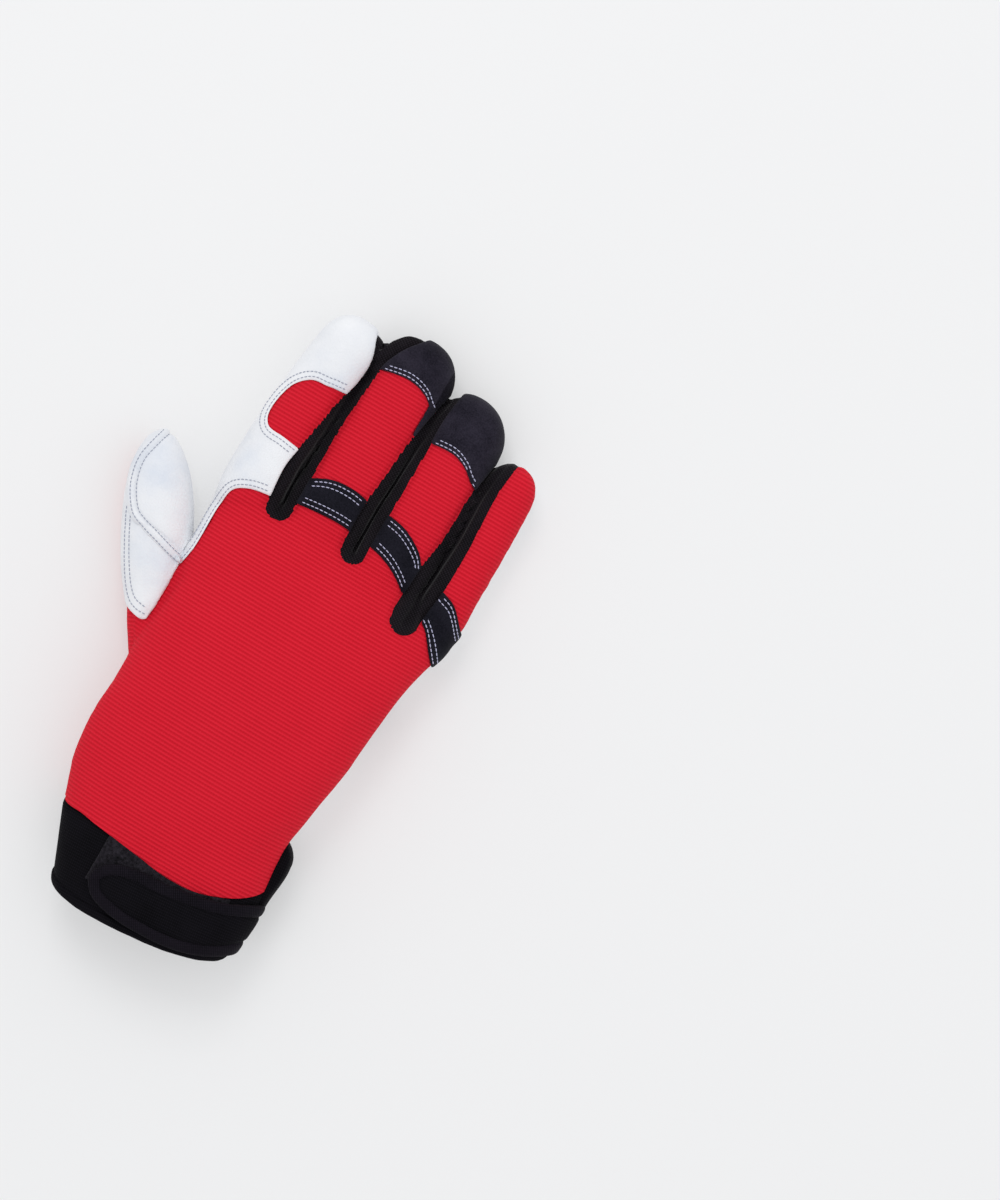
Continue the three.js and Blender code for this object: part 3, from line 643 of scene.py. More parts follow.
# Patches on the fingers: edges in shares of the finger's half width and length
patches = {
    "lift": 1.15,
    "wall": 1.0,
    "edgeDrop": 0.6,  # how far an edge is rounded down, as a share of the wall
    "capLower": {
        "middle": [(-1.5, 0.77), (-0.78, 0.785), (0, 0.81), (0.5, 0.79), (0.85, 0.745), (1.5, 0.7)],
        "ring": [(-1.5, 0.69), (-0.68, 0.705), (0, 0.71), (0.4, 0.68), (0.72, 0.63), (1.5, 0.57)],
    },
    "bandUpper": {
        "middle": [(-1.5, 0.15), (-0.76, 0.234), (-0.28, 0.276), (0.22, 0.288), (0.68, 0.279), (1.5, 0.24)],
        "ring": [(-1.5, 0.33), (-0.7, 0.313), (-0.12, 0.29), (0.48, 0.224), (0.74, 0.165), (1.5, 0.02)],
        "little": [(-1.5, 0.3), (-0.27, 0.216), (0.25, 0.186), (0.86, 0.094), (1.8, -0.04)],
    },
    "bandLower": {
        "middle": [(-1.5, 0.09), (-0.75, 0.109), (-0.14, 0.125), (0.38, 0.132), (0.76, 0.13), (1.5, 0.12)],
        "ring": [(-1.5, 0.16), (-0.7, 0.14), (-0.13, 0.112), (0.32, 0.069), (0.72, 0.012), (1.5, -0.11)],
        "little": [(-1.5, 0.14), (-0.71, 0.049), (-0.14, -0.008), (0.57, -0.09), (1.8, -0.24)],
    },
    "window": [(1.4, 0.685), (0.5, 0.68), (0.2, 0.67), (-0.27, 0.655), (-0.62, 0.6), (-0.8, 0.5),
               (-0.76, 0.415), (-0.55, 0.378), (0, 0.375), (0.5, 0.37), (1.4, 0.36)],
    "coverLower": [(-42.2, 122), (-39.9, 130), (-38.2, 148), (-35.8, 156), (-31, 158.6), (-24, 159.5),
                   (-17, 159)],
    "coverSides": [(-17, 172), (-14, 190), (-9, 212), (-6.5, 224), (-6.5, 250), (-60, 250), (-60, 137),
                   (-43.5, 136), (-43.8, 122)],
    "coverMiddle": {"y": (150, 233), "x": (-30.5, -16)},
    "coverLow": 8,  # its lower edge on the outer side
    "coverPastSeam": 0.6,  # how far it passes the side seam elsewhere
    "coverTurn": (-4, 8),  # from the one to the other, across the finger's middle
    "coverSink": 1.4,
    "thumbWelt": [(-69, 170), (-70.6, 165), (-72.2, 160), (-74, 154), (-74.2, 149), (-73, 142.5),
                  (-70.3, 136.5), (-66.5, 131.5), (-61, 128.6), (-54.5, 126), (-48.2, 123.4), (-41, 121)],
    "weltCord": (0.55, 2, 0.8),  # height, distance from the edge and half width
    "weltGroove": (-0.5, 3.3, 0.7),
    "saddle": [(-64, 114), (-61.3, 110), (-57.5, 104), (-54.3, 100.2), (-50.5, 98.4), (-47, 97.7),
               (-43.6, 99.5)],
    "saddleRows": [
        [(-71.5, 140), (-69, 131), (-61.3, 113), (-57, 105.4), (-53.7, 101.8), (-50, 100.2), (-47, 99.9)],
        [(-69, 139), (-66.6, 130), (-58.8, 112.6), (-55, 106.4), (-52, 103.6), (-48, 102.4)],
    ],
    "thumbTop": 8.5,
    "thumbTopSide": {"y": (90, 104, 124, 134, 140), "x": (-46.5, -44.4, -42.6, -44.4, -46.5)},
    "thumbSink": 2.2,
    "sinkOver": 4,  # height over which a low edge runs into the leather
    "palmSide": 9,  # the palm patches stay below this
}
fingerPatchPoints = [
    (56.5, 142), (55.5, 149.5), (51.5, 154.5), (45.5, 153.5), (41, 144), (37, 137.5), (32.5, 143), (29, 160),
    (22, 164), (16.5, 158), (10, 148.5), (6, 160), (1, 170), (-6, 168), (-12, 154.5), (-18, 162), (-25, 173),
    (-33, 170), (-37, 156), (-33, 141), (-22, 137.5), (0, 132), (20, 130), (39, 124), (51, 124.5),
]
heelPatchPoints = [
    (46, 112.5), (39, 115), (34.5, 111), (30, 96), (22, 85.5), (13, 85), (4, 92), (1, 102), (-1, 118),
    (-7, 125.5), (-17, 127), (-29, 126), (-33.5, 120), (-28, 108), (-19, 91), (-8, 67), (2, 56), (12, 55),
    (26, 61), (36.5, 73.5), (43.5, 90), (47.5, 104),
]
fingerPatchLine = roundedLine(fingerPatchPoints)
heelPatchLine = roundedLine(heelPatchPoints)


def beyondLine(name, edge, over=True):  # the closed area past an edge across a finger
    line = roundedLine(fingerLine(fingers[name], patches[edge][name]), closed=False, spacing=1.5)
    far = 1.4 if over else -0.6
    return np.vstack([line, fingerLine(fingers[name], [(1.8, far), (-1.8, far)])])


def clearOfStrips(places):
    return -anyStrip(places, stripOnBack)


def higherThan(height):
    return lambda places: places[:, 2] - height


def fieldOf(areas, sides):  # positive inside every plan area and on the wanted side of every surface
    areas = [np.asarray(area, float) for area in areas]

    def field(places):
        inside = [insideBy(places, area) for area in areas]
        return np.minimum.reduce(inside + [side(places) for side in sides])
    return field


def capField(name):
    between = fingerLine(fingers[name], [(-1.12, -0.4), (-1.12, 1.3), (1.12, 1.3), (1.12, -0.4)])
    return fieldOf([beyondLine(name, "capLower"), between], [seamField, clearOfStrips])


bandSides = {  # plan areas between the strips, which the bands run across
    "middle": [(-17, 140), (-17, 185), (14.6, 185), (14.6, 140)],
    "ring": [(14.6, 130), (14.6, 185), (46, 185), (42.9, 130)],
    "little": [(42.9, 115), (46, 180), (80, 180), (80, 115)],
}


def bandField(name):
    areas = [beyondLine(name, "bandLower"), beyondLine(name, "bandUpper", over=False), bandSides[name]]
    return fieldOf(areas, [seamField, clearOfStrips])


windowLine = roundedLine(fingerLine(fingers["index"], patches["window"]))
coverLine = roundedLine(patches["coverLower"], closed=False)
weltLine = roundedLine(patches["thumbWelt"], closed=False)
thumbTipArea = np.vstack([weltLine, [(-25, 121), (-25, 170)]])
saddleArea = np.vstack([
    weltLine + np.array([2.5, 1.5]),
    roundedLine(patches["saddle"], closed=False)[::-1], [(-85, 125), (-85, 175)],
])


def outsideWindow(places):
    return -insideBy(places, windowLine)


def overCoverEdge(places):  # height over the cover's lower edge, which dips on the outer side
    low, middle = patches["coverLow"], patches["coverMiddle"]
    beside = places[:, 0] - np.interp(places[:, 1], middle["y"], middle["x"])
    edge = low + (seamHeight(places) - low - patches["coverPastSeam"]) * ease(beside, *patches["coverTurn"])
    return places[:, 2] - edge


def onThumbTop(places):
    side = patches["thumbTopSide"]
    edge = np.interp(places[:, 1], side["y"], side["x"]) - places[:, 0]
    return np.minimum(edge, places[:, 2] - patches["thumbTop"])


def belowPalmSide(places):
    return patches["palmSide"] - places[:, 2]


fields = {
    "indexCover": fieldOf([np.vstack([coverLine, patches["coverSides"]])],
                          [outsideWindow, overCoverEdge, clearOfStrips]),
    "thumbTipPatch": fieldOf([thumbTipArea], [onThumbTop]),
    "thumbSaddlePatch": fieldOf([saddleArea], [onThumbTop]),
    "palmPatchFingers": fieldOf([fingerPatchLine], [belowPalmSide]),
    "palmPatchHeel": fieldOf([heelPatchLine], [belowPalmSide]),
}
fields.update({name + "Cap": capField(name) for name in patches["capLower"]})
fields.update({name + "Band": bandField(name) for name in bandSides})


def sunk(over, depth):  # the low edges of the white pieces run into the leather
    return -depth * (1 - ease(over, 0, patches["sinkOver"]))


def coverRelief(places, depth):
    return sunk(overCoverEdge(places), patches["coverSink"])


def thumbRelief(places, depth):
    return sunk(places[:, 2] - patches["thumbTop"], patches["thumbSink"])


def weltRelief(places, depth):  # a soft cord along the seam of the thumb tip, and a groove beside it
    along = insideBy(places, thumbTipArea)
    folds = [height * hump(along - middle, half)
             for height, middle, half in (patches["weltCord"], patches["weltGroove"])]
    return sum(folds) + thumbRelief(places, depth)


patchShapes = {  # what sets a patch apart from the others
    "indexCover": dict(relief=coverRelief),
    "thumbTipPatch": dict(lift=2.05, wall=1.5, roll=1.3, relief=weltRelief),
    "thumbSaddlePatch": dict(relief=thumbRelief),
    "palmPatchFingers": dict(lift=1.05),
    "palmPatchHeel": dict(lift=1.05),
}


def makePatches(form):
    made = {}
    for name, field in fields.items():
        shape = {"lift": patches["lift"], "wall": patches["wall"], **patchShapes.get(name, {})}
        made[name] = patchOver(name, form, field, **shape)
    return made


# The wrist band, its rolled edge, the strap and its tab
wrist = {
    "length": 29.5,
    "sides": 200,
    "rings": 64,
    "underHand": 9,  # how far its form runs on under the hand
    "ends": (-10, 25),  # along y, where the rake is that of the rim and of the seam
    "wall": 2.2,
    "overlap": 1.2,
    "rim": 27.4,
    "topTuck": dict(depth=0.9, half=1.6),
    "rimTuck": dict(depth=0.5, half=1.2, place=26.5),
    "fold": 0.35, "foldSize": 11,
    "roll": dict(height=4.2, thickness=3.3, rise=0.75, rings=20, squareness=0.7, wobble=0.18),
    "loop": [(-25, 2), (-24, 12), (-23, 24), (0, 19), (27, 19), (27, 2)],
    "loopFoot": 14, "loopLift": 1.2, "loopWall": 0.8,
    "strap": [(-23.5, 4.5), (-20.5, -2), (-12, -6), (0, -8), (18, -8), (30, -4.6), (42, 3.2), (50, 10),
              (50, 20), (40, 19.5), (24, 14.6), (5, 12.8), (-10, 13), (-19, 10.5)],
    "strapFoot": 11, "strapLift": 2.9, "strapWall": 1.9,
    "strapBorder": 4.4, "borderLift": 0.15, "borderRoll": 1.8,
    "strapSink": 0.7,
    "tab": dict(middle=(36.4, 29, 12.5), size=(6.6, 30, 15), cuts=15, smoothing=20, bulge=1.2,
                lean=2.6, leanAlong=(16, 34), hook=4.2, hookFrom=36, hookLength=8),
}


def cuffRing(place, grow=0):
    keys = ("left", "right", "depth", "rake")
    row = [np.interp(place, cuffSections["place"], cuffSections[key]) for key in keys]
    return wristRing(wrist["sides"], cuffSeam - place, *row, grow=grow)


def makeCuffForm():
    rings = [cuffRing(place) for place in np.linspace(wrist["length"], -wrist["underHand"], wrist["rings"])]
    form = loft("cuffForm", rings, closedEnds=False)
    applyModifier(form, "SMOOTH", factor=0.5, iterations=glove["smoothing"]["skin"])
    return form


def cuffPlace(places):  # millimetres from the wrist seam towards the rim
    rake = np.interp(places[:, 1], wrist["ends"], (cuffSections["rake"][2], cuffSections["rake"][0]))
    return cuffSeam - places[:, 1] - rake * (places[:, 2] - glove["middleHeight"])


def cuffTop(places):  # the same, measured from the seam as it dips over the back
    return cuffPlace(places) + wristDip(places)


def makeCuff(form):
    cuff = copyOf(form, "cuffBand")
    keepWhere(cuff, lambda p: np.minimum(cuffTop(p) + wrist["overlap"], wrist["rim"] - cuffPlace(p)))
    places = placesOf(cuff)
    top, rim = wrist["topTuck"], wrist["rimTuck"]
    tuck = top["depth"] * hump(cuffTop(places), top["half"])
    tuck += rim["depth"] * hump(cuffPlace(places) - rim["place"], rim["half"])
    pushOut(cuff, wrist["fold"] * softNoise(places * lengthways, wrist["foldSize"], 5) - tuck)
    giveWall(cuff, wrist["wall"])
    return cuff


def makeBinding():
    roll = wrist["roll"]
    half, thick = roll["height"] / 2, roll["thickness"] / 2
    rings = []
    for turn in np.linspace(0, 2 * np.pi, roll["rings"], endpoint=False):
        along, out = (math.copysign(abs(share) ** roll["squareness"], share)
                      for share in (math.cos(turn), math.sin(turn)))
        rings.append(cuffRing(wrist["length"] - half + along * half, out * thick - thick + roll["rise"]))
    binding = loft("cuffRoll", rings + rings[:1], closedEnds=False)
    pushOut(binding, roll["wobble"] * softNoise(placesOf(binding), 5, 6))
    return binding


strapLine = roundedLine(wrist["strap"])
strapField = fieldOf([strapLine], [higherThan(wrist["strapFoot"])])
loopField = fieldOf([wrist["loop"]], [higherThan(wrist["loopFoot"]), lambda p: cuffTop(p) - 0.6])


def strapBorderField(places):
    return np.minimum(strapField(places), wrist["strapBorder"] - insideBy(places, strapLine))


def strapRelief(places, depth):  # the strap sinks where its bound edge lies on it
    border = wrist["strapBorder"]
    return -wrist["strapSink"] * (1 - ease(depth, border - 0.6, border + 1.4))


def makeSideTab():  # the folded end of the strap at the little-finger side
    tab = wrist["tab"]
    deselectAll()
    bpy.ops.mesh.primitive_cube_add(size=1, location=tab["middle"])
    piece = bpy.context.object
    piece.name = piece.data.name = "sideTab"
    bpy.ops.transform.resize(value=tab["size"])
    bpy.ops.object.transform_apply(location=True, rotation=False, scale=True)
    bpy.ops.object.mode_set(mode="EDIT")
    bpy.ops.mesh.select_all(action="SELECT")
    bpy.ops.mesh.subdivide(number_cuts=tab["cuts"])
    bpy.ops.object.mode_set(mode="OBJECT")
    applyModifier(piece, "SMOOTH", factor=0.5, iterations=tab["smoothing"])
    applyModifier(piece, "SUBSURF", levels=1, render_levels=1)
    places = placesOf(piece)
    hooked = np.clip((places[:, 1] - tab["hookFrom"]) / tab["hookLength"], 0, 1)
    side = tab["lean"] * ease(places[:, 1], *tab["leanAlong"]) - tab["hook"] * hooked**2
    bulge = tab["bulge"] * ((places[:, 2] - tab["middle"][2]) / tab["size"][2] * 2) ** 2
    moveTo(piece, places + np.outer(side - bulge, (1, 0, 0)))
    return piece


def makeWristParts():
    form = makeCuffForm()
    lift, wall = wrist["strapLift"], wrist["strapWall"]
    made = {
        "cuffBand": makeCuff(form),
        "cuffRoll": makeBinding(),
        "loopPile": patchOver("loopPile", form, loopField, wrist["loopLift"], wrist["loopWall"]),
        "wristStrap": patchOver("wristStrap", form, strapField, lift, wall, relief=strapRelief),
        "strapBorder": patchOver("strapBorder", form, strapBorderField, lift + wrist["borderLift"], wall,
                                 roll=wrist["borderRoll"]),
        "sideTab": makeSideTab(),
    }
    bpy.data.objects.remove(form)
    return made


# White stitching, one small arched thread at a time, in rows at distances from the edges
stitch = {
    "leather": dict(pitch=1.55, radius=0.2),
    "band": dict(pitch=1.85, radius=0.22),
    "gap": 0.3, "sides": 6, "ends": 5, "arch": 1.2, "proud": 0.1,
    "capRows": (0.9, 2.4),
    "bandRows": (1.4, 3.3),
    "coverRows": (1.3, 3.2),
    "tipRows": (0.8, 3.3),
    "palmRows": (1.8, 3.6),
    "longestStep": 4,  # a farther one leaps over a gap in the piece
}


def insetLine(line, distance, closed=True):  # a plan line moved sideways, to its left
    before = np.roll(line, 1, axis=0)
    after = np.roll(line, -1, axis=0)
    if not closed:
        before[0], after[-1] = line[0], line[-1]
    heading = after - before
    heading /= np.linalg.norm(heading, axis=1)[:, None]
    return line + distance * np.column_stack([-heading[:, 1], heading[:, 0]])


def treeOf(piece):
    places = [tuple(place) for place in placesOf(piece)]
    return BVHTree.FromPolygons(places, [tuple(face.vertices) for face in piece.data.polygons])


def sew(line, piece, field, pitch, downwards=True, least=0.7, closed=False):  # stitches along a plan line
    tree = treeOf(piece)
    height = 60 if downwards else -10
    ray = Vector((0, 0, -1 if downwards else 1))
    if closed:
        line = np.vstack([line, line[:1]])
    hits = []
    for x, y in line:
        place, normal = tree.ray_cast(Vector((x, y, height)), ray)[:2]
        if place is not None:
            hits.append((place, normal))
    if not hits:
        return []
    allowed = field(np.array([place for place, normal in hits])) >= least
    hits = [(place, normal, okay) for (place, normal), okay in zip(hits, allowed)]
    made = []
    travelled = 0.0
    nextAt = pitch / 2
    for (a, _, okA), (b, normal, okB) in zip(hits, hits[1:]):
        step = (b - a).length
        if step > stitch["longestStep"]:
            travelled, nextAt = 0.0, pitch / 2
            continue
        while step > 0 and nextAt <= travelled + step:
            place = a.lerp(b, (nextAt - travelled) / step)
            if okA and okB:
                made.append((place, (b - a).normalized(), normal))
            nextAt += pitch
        travelled += step
    return made


def makeStitching(name, stitches, pitch, radius):
    deselectAll()
    bpy.ops.mesh.primitive_uv_sphere_add(segments=stitch["sides"], ring_count=stitch["ends"], radius=1)
    thread = bpy.context.object
    thread.name = name
    size = np.array([(pitch - stitch["gap"]) / 2, radius, radius * stitch["arch"]])
    shape = placesOf(thread)[:, [2, 0, 1]] * size
    faces = [tuple(face.vertices) for face in thread.data.polygons]
    verts, polygons = [], []
    for place, heading, normal in stitches:
        aside = normal.cross(heading).normalized()
        up = heading.cross(aside).normalized()
        turn = np.array([heading, aside, up])
        base = len(verts) * len(shape)
        verts.append(shape @ turn + np.array(place) + np.array(up) * stitch["proud"])
        polygons += [tuple(base + i for i in face) for face in faces]
    mesh = bpy.data.meshes.new(name)
    mesh.from_pydata(np.vstack(verts).tolist(), [], polygons)
    mesh.update()
    thread.data = mesh
    return thread


def movedEdge(name, edge, distance):  # an edge across a finger, moved along the finger
    shift = distance / fingers[name]["length"]
    moved = [(across, along + shift) for across, along in patches[edge][name]]
    return roundedLine(fingerLine(fingers[name], moved), closed=False)


def sewEverything(made):
    stitches = {"leather": [], "band": []}

    def sewOn(kind, name, line, **settings):
        stitches[kind].extend(sew(line, made[name], fields[name], stitch[kind]["pitch"], **settings))

    for name in patches["capLower"]:
        for row in stitch["capRows"]:
            sewOn("band", name + "Cap", movedEdge(name, "capLower", row))
    for name in bandSides:
        for row in stitch["bandRows"]:
            sewOn("band", name + "Band", movedEdge(name, "bandUpper", -row))
            sewOn("band", name + "Band", movedEdge(name, "bandLower", row))
    for row in stitch["coverRows"]:
        sewOn("leather", "indexCover", insetLine(windowLine, -row), closed=True)
        sewOn("leather", "indexCover", insetLine(coverLine, row, closed=False))
    for row in patches["saddleRows"]:
        sewOn("leather", "thumbSaddlePatch", roundedLine(row, closed=False), least=0.3)
    for row in stitch["tipRows"]:
        sewOn("leather", "thumbTipPatch", insetLine(weltLine, row, closed=False))
    for name, outline in (("palmPatchFingers", fingerPatchLine), ("palmPatchHeel", heelPatchLine)):
        for row in stitch["palmRows"]:
            for side in (-row, row):
                sewOn("band", name, insetLine(outline, side), downwards=False, closed=True)
    return {kind + "Stitching": makeStitching(kind + "Stitching", stitches[kind], **stitch[kind])
            for kind in stitches}


# Finishes


def newFinish(name, colour, roughness, gloss=0.5, **sockets):
    finish = bpy.data.materials.new(name)
    finish.use_nodes = True
    shader = finish.node_tree.nodes["Principled BSDF"]
    shader.inputs["Base Color"].default_value = (*colour, 1)
    shader.inputs["Roughness"].default_value = roughness
    shader.inputs["Specular IOR Level"].default_value = gloss
    for socket, value in sockets.items():
        shader.inputs[socket].default_value = value
    return finish


def addNode(finish, kind, inputs=(), **settings):
    node = finish.node_tree.nodes.new("ShaderNode" + kind)
    for name, value in settings.items():
        setattr(node, name, value)
    for socket, value in dict(inputs).items():
        if isinstance(value, bpy.types.NodeSocket):
            finish.node_tree.links.new(value, node.inputs[socket])
        else:
            node.inputs[socket].default_value = value
    return node


def link(finish, output, socket):
    shader = finish.node_tree.nodes["Principled BSDF"]
    finish.node_tree.links.new(output, shader.inputs[socket])


def objectPlace(finish, turn=0.0, stretch=(1, 1, 1)):
    coordinates = addNode(finish, "TexCoord")
    mapping = addNode(finish, "Mapping", {"Vector": coordinates.outputs["Object"]})
    mapping.inputs["Rotation"].default_value = (0, 0, math.radians(turn))
    mapping.inputs["Scale"].default_value = stretch
    return mapping.outputs["Vector"]


def noiseAt(finish, place, size, detail=2.0, roughness=0.5):  # size in millimetres
    inputs = {"Vector": place, "Scale": 1000 / size, "Detail": detail, "Roughness": roughness}
    return addNode(finish, "TexNoise", inputs).outputs["Fac"]


def ribsAt(finish, place, pitch, direction, bend=0.0):  # pitch in millimetres
    inputs = {"Vector": place, "Scale": 314.16 / pitch, "Distortion": bend, "Detail": 1, "Detail Scale": 0.3}
    return addNode(finish, "TexWave", inputs, bands_direction=direction).outputs["Fac"]


def combine(finish, operation, first, second):
    return addNode(finish, "Math", {0: first, 1: second}, operation=operation).outputs["Value"]


def blendOf(finish, *terms):  # the sum of values, each with its share
    total = None
    for value, share in terms:
        term = value if share == 1 else combine(finish, "MULTIPLY", value, share)
        total = term if total is None else combine(finish, "ADD", total, term)
    return total


def rampOf(finish, value, *stops):  # stops are (place, colour)
    ramp = addNode(finish, "ValToRGB", {"Fac": value})
    elements = ramp.color_ramp.elements
    while len(elements) < len(stops):
        elements.new(0.5)
    for element, (place, colour) in zip(elements, stops):
        element.position = place
        element.color = (*colour, 1)
    return ramp.outputs["Color"]


def roughen(finish, height, depth, strength=1.0):  # depth in millimetres
    inputs = {"Height": height, "Distance": depth / 1000, "Strength": strength}
    link(finish, addNode(finish, "Bump", inputs).outputs["Normal"], "Normal")


# Red knit: its own red, with painted shade in the rib grooves and a painted highlight on the rib crests
knit = {
    "ribPitch": 1.5,
    "walePitch": 1.1,
    "paintedGrooveShade": (0.50, 0.005, 0.015),
    "body": (0.64, 0.0085, 0.024),
    "paintedCrestLight": (0.75, 0.020, 0.042),
}


def knitFinish(name, turn):
    finish = newFinish(name, knit["body"], 0.8, gloss=0.12)
    place = objectPlace(finish, turn)
    ribs = ribsAt(finish, place, knit["ribPitch"], "Y", bend=0.35)
    wales = ribsAt(finish, place, knit["walePitch"], "X", bend=0.5)
    height = blendOf(finish, (ribs, 1), (wales, 0.14), (noiseAt(finish, place, 0.7, detail=3), 0.5))
    shade = blendOf(finish, (height, 0.5), (noiseAt(finish, place, 22, detail=3), 0.16))
    # The colour follows the ribs' relief: painted shade in the grooves and a painted highlight on the
    # crests, plus random mottling from the broad noise
    colour = rampOf(finish, shade, (0.12, knit["paintedGrooveShade"]), (0.5, knit["body"]), (0.95, knit["paintedCrestLight"]))
    link(finish, colour, "Base Color")
    roughen(finish, height, 0.2)
    return finish


leather = {
    "grain": 1.3,
    "shade": (0.69, 0.725, 0.79),
    "body": (0.80, 0.81, 0.835),
    "light": (0.87, 0.875, 0.89),
}


def leatherFinish():
    finish = newFinish("whiteLeather", leather["body"], 0.5, gloss=0.35)
    place = objectPlace(finish)
    cells = addNode(finish, "TexVoronoi", {"Vector": place, "Scale": 1000 / leather["grain"]},
                    feature="DISTANCE_TO_EDGE").outputs["Distance"]
    grain = addNode(finish, "MapRange", {"Value": cells, "From Max": 0.22}).outputs["Result"]
    soft = noiseAt(finish, place, 3.5, detail=4, roughness=0.6)
    lines = noiseAt(finish, objectPlace(finish, 10, (0.35, 1, 1)), 2.6, detail=3)
    cloud = noiseAt(finish, place, 30, detail=4, roughness=0.6)
    colour = rampOf(finish, cloud, (0.3, leather["shade"]), (0.5, leather["body"]), (0.75, leather["light"]))
    link(finish, colour, "Base Color")
    rough = addNode(finish, "MapRange", {"Value": soft, "To Min": 0.42, "To Max": 0.62}).outputs["Result"]
    link(finish, rough, "Roughness")
    roughen(finish, blendOf(finish, (grain, 0.35), (soft, 0.9), (lines, 0.9)), 0.2, strength=0.7)
    return finish


def napFinish(name, dark, light, pile, depth, sheen):
    finish = newFinish(name, dark, 0.9, gloss=0.06, **{"Sheen Weight": sheen, "Sheen Roughness": 0.5})
    place = objectPlace(finish)
    fine = noiseAt(finish, place, pile, detail=4, roughness=0.7)
    shade = blendOf(finish, (fine, 0.6), (noiseAt(finish, place, 9, detail=3, roughness=0.6), 0.4))
    link(finish, rampOf(finish, shade, (0.38, dark), (0.68, light)), "Base Color")
    roughen(finish, fine, depth)
    return finish


def weaveFinish(name, dark, light, pitch, turn, depth, sheen):
    finish = newFinish(name, dark, 0.85, gloss=0.05, **{"Sheen Weight": sheen, "Sheen Roughness": 0.4})
    place = objectPlace(finish, turn)
    threads = combine(finish, "MULTIPLY", ribsAt(finish, place, pitch, "X", bend=0.6),
                      ribsAt(finish, place, pitch * 1.3, "Y", bend=0.6))
    height = blendOf(finish, (threads, 1), (noiseAt(finish, place, 0.8, detail=3), 0.6))
    shade = blendOf(finish, (height, 0.5), (noiseAt(finish, place, 14, detail=2), 0.35))
    # The colour follows the threads' relief: painted shade in the hollows between threads and a painted
    # highlight on the threads, plus random tone from the broad noise
    link(finish, rampOf(finish, shade, (0.25, dark), (0.8, light)), "Base Color")
    roughen(finish, height, depth)
    return finish


def threadFinish(name, dark, light):
    finish = newFinish(name, light, 0.6, gloss=0.2)
    twist = ribsAt(finish, objectPlace(finish, 35), 0.5, "X")
    # Darker between the turns of the twist: painted shade in the twist's grooves
    link(finish, rampOf(finish, twist, (0.1, dark), (0.8, light)), "Base Color")
    roughen(finish, twist, 0.08)
    return finish


# Name, dark tone, light tone, then the pile's size, or a weave's pitch and turn, its depth and its sheen
naps = {
    "suede": ("blackSuede", (0.007, 0.006, 0.011), (0.030, 0.026, 0.040), 0.6, 0.12, 0.06),
    "bandSuede": ("bandSuede", (0.004, 0.004, 0.007), (0.016, 0.015, 0.023), 0.6, 0.12, 0.04),
    "pile": ("loopPile", (0.001, 0.001, 0.0015), (0.030, 0.026, 0.034), 1.2, 0.7, 0.05),
}
# In a weave the dark tone is painted shade between the threads and the light tone is a painted highlight on
# them
weaves = {
    "stretch": ("blackStretch", (0.003, 0.0025, 0.003), (0.021, 0.017, 0.022), 0.75, 40, 0.07, 0.12),
    "bound": ("strapBinding", (0.003, 0.0025, 0.004), (0.015, 0.012, 0.018), 0.6, 65, 0.07, 0.04),
    "elastic": ("blackElastic", (0.002, 0.0018, 0.0025), (0.008, 0.007, 0.010), 0.8, 0, 0.1, 0.015),
}


def makeFinishes():
    return {
        "knit": knitFinish("redKnit", 6),
        "thumbKnit": knitFinish("redThumbKnit", -20),
        "leather": leatherFinish(),
        "thread": threadFinish("whiteThread", (0.38, 0.38, 0.55), (0.66, 0.66, 0.84)),
        # The leather's stitches are white thread; this grey is painted shade where the tight stitches sink
        # into the leather
        "greyThread": threadFinish("greyThread", (0.26, 0.28, 0.36), (0.46, 0.48, 0.56)),
        **{key: napFinish(*values) for key, values in naps.items()},
        **{key: weaveFinish(*values) for key, values in weaves.items()},
    }


def settle(piece, finish, slotName, *nodes):  # to the row frame's metres, with its finish and body
    shift = Matrix.Translation(Vector((-glove["middle"][0], -glove["middle"][1], 0)))
    piece.data.transform(Matrix.Scale(0.001, 4) @ shift)
    piece.data.materials.clear()
    piece.data.materials.append(finish)
    choose(piece)
    bpy.ops.object.shade_smooth_by_angle(angle=math.radians(glove["sharpAngle"]))
    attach(piece, "root")
    if nodes:
        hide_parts(*nodes)


studio = {
    "floor": (0.52, 0.52, 0.52),
    "floorSize": 8,
    "floorPaintedGlow": 0.34,  # the floor glows though it is no lamp: painted light that keeps the cast shadows faint
    "middle": (0.0763, 0.0466),  # what the photograph's middle looks at
    "level": 0.026,
    "distance": 1.35,
    "spans": 0.4478,  # of the floor plane, over the photograph's height
    "turn": 24.6,
    "sensor": 36,
    "world": 0.86,
    "worldTint": (0.97, 0.98, 1),
    "softKey": dict(place=(-0.5, 0.9, 1.3), power=5.6, size=0.7),
    "softFill": dict(place=(1.0, 0.1, 1.1), power=1.2, size=1.2),
}


def layStage():
    deselectAll()
    bpy.ops.mesh.primitive_plane_add(size=studio["floorSize"])
    floor = bpy.context.object
    floor.name = "paleFloor"
    # Painted light: the floor glows by itself, which lifts it where the glove's shadows fall
    paintedGlow = {"Emission Color": (1, 1, 1, 1), "Emission Strength": studio["floorPaintedGlow"]}
    floor.data.materials.append(newFinish("paleFloorPaint", studio["floor"], 0.9, **paintedGlow))


def lightStudio():
    scene = bpy.context.scene
    scene.world = bpy.data.worlds.new("studioWorld")
    scene.world.use_nodes = True
    background = scene.world.node_tree.nodes["Background"]
    background.inputs["Color"].default_value = (*studio["worldTint"], 1)
    background.inputs["Strength"].default_value = studio["world"]
    for name in ("softKey", "softFill"):
        light = bpy.data.objects.new(name, bpy.data.lights.new(name, "AREA"))
        light.data.energy = studio[name]["power"]
        light.data.size = studio[name]["size"]
        light.location = studio[name]["place"]
        light.rotation_euler = (-light.location).to_track_quat("-Z", "Y").to_euler()
        scene.collection.objects.link(light)


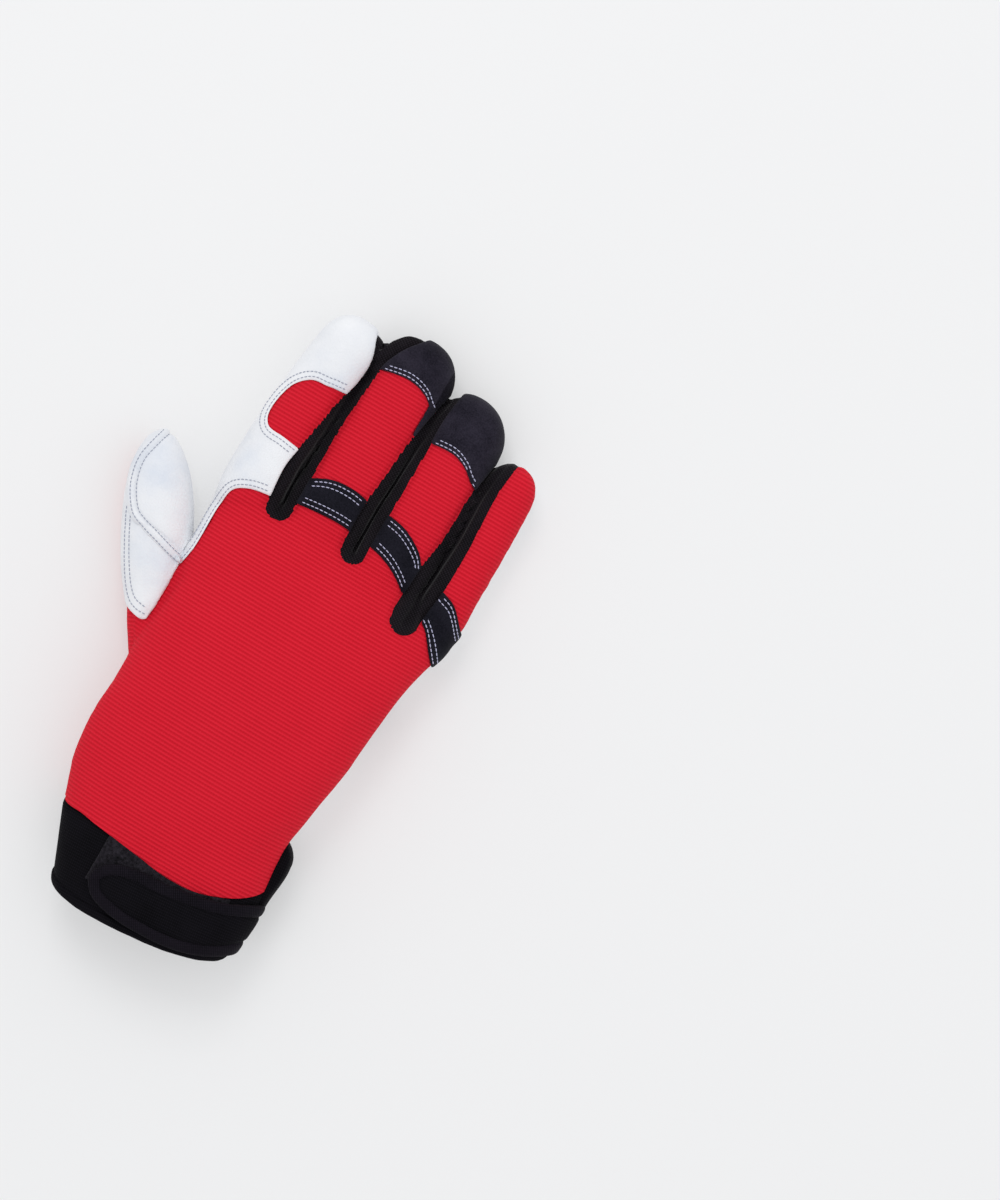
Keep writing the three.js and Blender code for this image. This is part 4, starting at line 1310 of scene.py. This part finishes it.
def placeCamera():
    camera = bpy.data.objects.new("camera", bpy.data.cameras.new("camera"))
    bpy.context.scene.collection.objects.link(camera)
    camera.data.sensor_width = studio["sensor"]
    camera.data.lens = studio["sensor"] * studio["distance"] / studio["spans"]
    camera.location = (*studio["middle"], studio["level"] + studio["distance"])
    camera.rotation_euler = (0, 0, math.radians(studio["turn"]))
    bpy.context.scene.camera = camera
    bpy.context.scene.view_settings.view_transform = "Standard"


print("shaping the glove")
gloveForm = makeGloveForm()
wearGloveForm(gloveForm)
print("cutting the patches and wrist parts")
parts = makePatches(gloveForm)
parts.update(makeWristParts())
print("cutting the panels")
seamForm(gloveForm)
parts.update(separatePanels(gloveForm))
for panel in strips:
    puffStrip(parts[panel], panel)
for panel in panelNames:
    giveWall(parts[panel], glove["clothWall"])
print("sewing")
parts.update(sewEverything(parts))

finishes = makeFinishes()
gloveParts = [
    ("knitBack", "knit", "red_knit", "back_panel"),
    ("knitThumb", "thumbKnit", "red_knit", "thumb_back"),
    ("leatherPalm", "leather", "white_leather", "palm_panel"),
    ("indexCover", "leather", "white_leather", "index_cover"),
    ("thumbTipPatch", "leather", "white_leather", "thumb_tip_patch"),
    ("thumbSaddlePatch", "leather", "white_leather", "thumb_saddle_patch"),
    ("indexMiddle", "stretch", "black_stretch", "fourchette_index_middle"),
    ("middleRing", "stretch", "black_stretch", "fourchette_middle_ring"),
    ("ringLittle", "stretch", "black_stretch", "fourchette_ring_little"),
    ("middleCap", "suede", "black_suede", "fingertip_cap_middle"),
    ("ringCap", "suede", "black_suede", "fingertip_cap_ring"),
    ("middleBand", "bandSuede", "black_suede", "knuckle_band_middle"),
    ("ringBand", "bandSuede", "black_suede", "knuckle_band_ring"),
    ("littleBand", "bandSuede", "black_suede", "knuckle_band_little"),
    ("palmPatchFingers", "suede", "black_suede", "palm_patch_fingers"),
    ("palmPatchHeel", "suede", "black_suede", "palm_patch_heel"),
    ("cuffBand", "elastic", "black_elastic", "cuff"),
    ("cuffRoll", "elastic", "black_elastic", "cuff_binding"),
    ("loopPile", "pile", "loop_pile", "loop_patch"),
    ("wristStrap", "elastic", "black_elastic", "wrist_strap"),
    ("strapBorder", "bound", "black_elastic"),
    ("sideTab", "elastic", "black_elastic", "side_tab"),
    # Grey finish: painted shade on the white thread where it sinks into the leather
    ("leatherStitching", "greyThread", "white_leather"),
    ("bandStitching", "thread", "white_leather"),
]
for name, finish, slotName, *nodes in gloveParts:
    settle(parts[name], finishes[finish], slotName, *nodes)
    print(name, len(parts[name].data.polygons), "faces")

layStage()
lightStudio()
placeCamera()
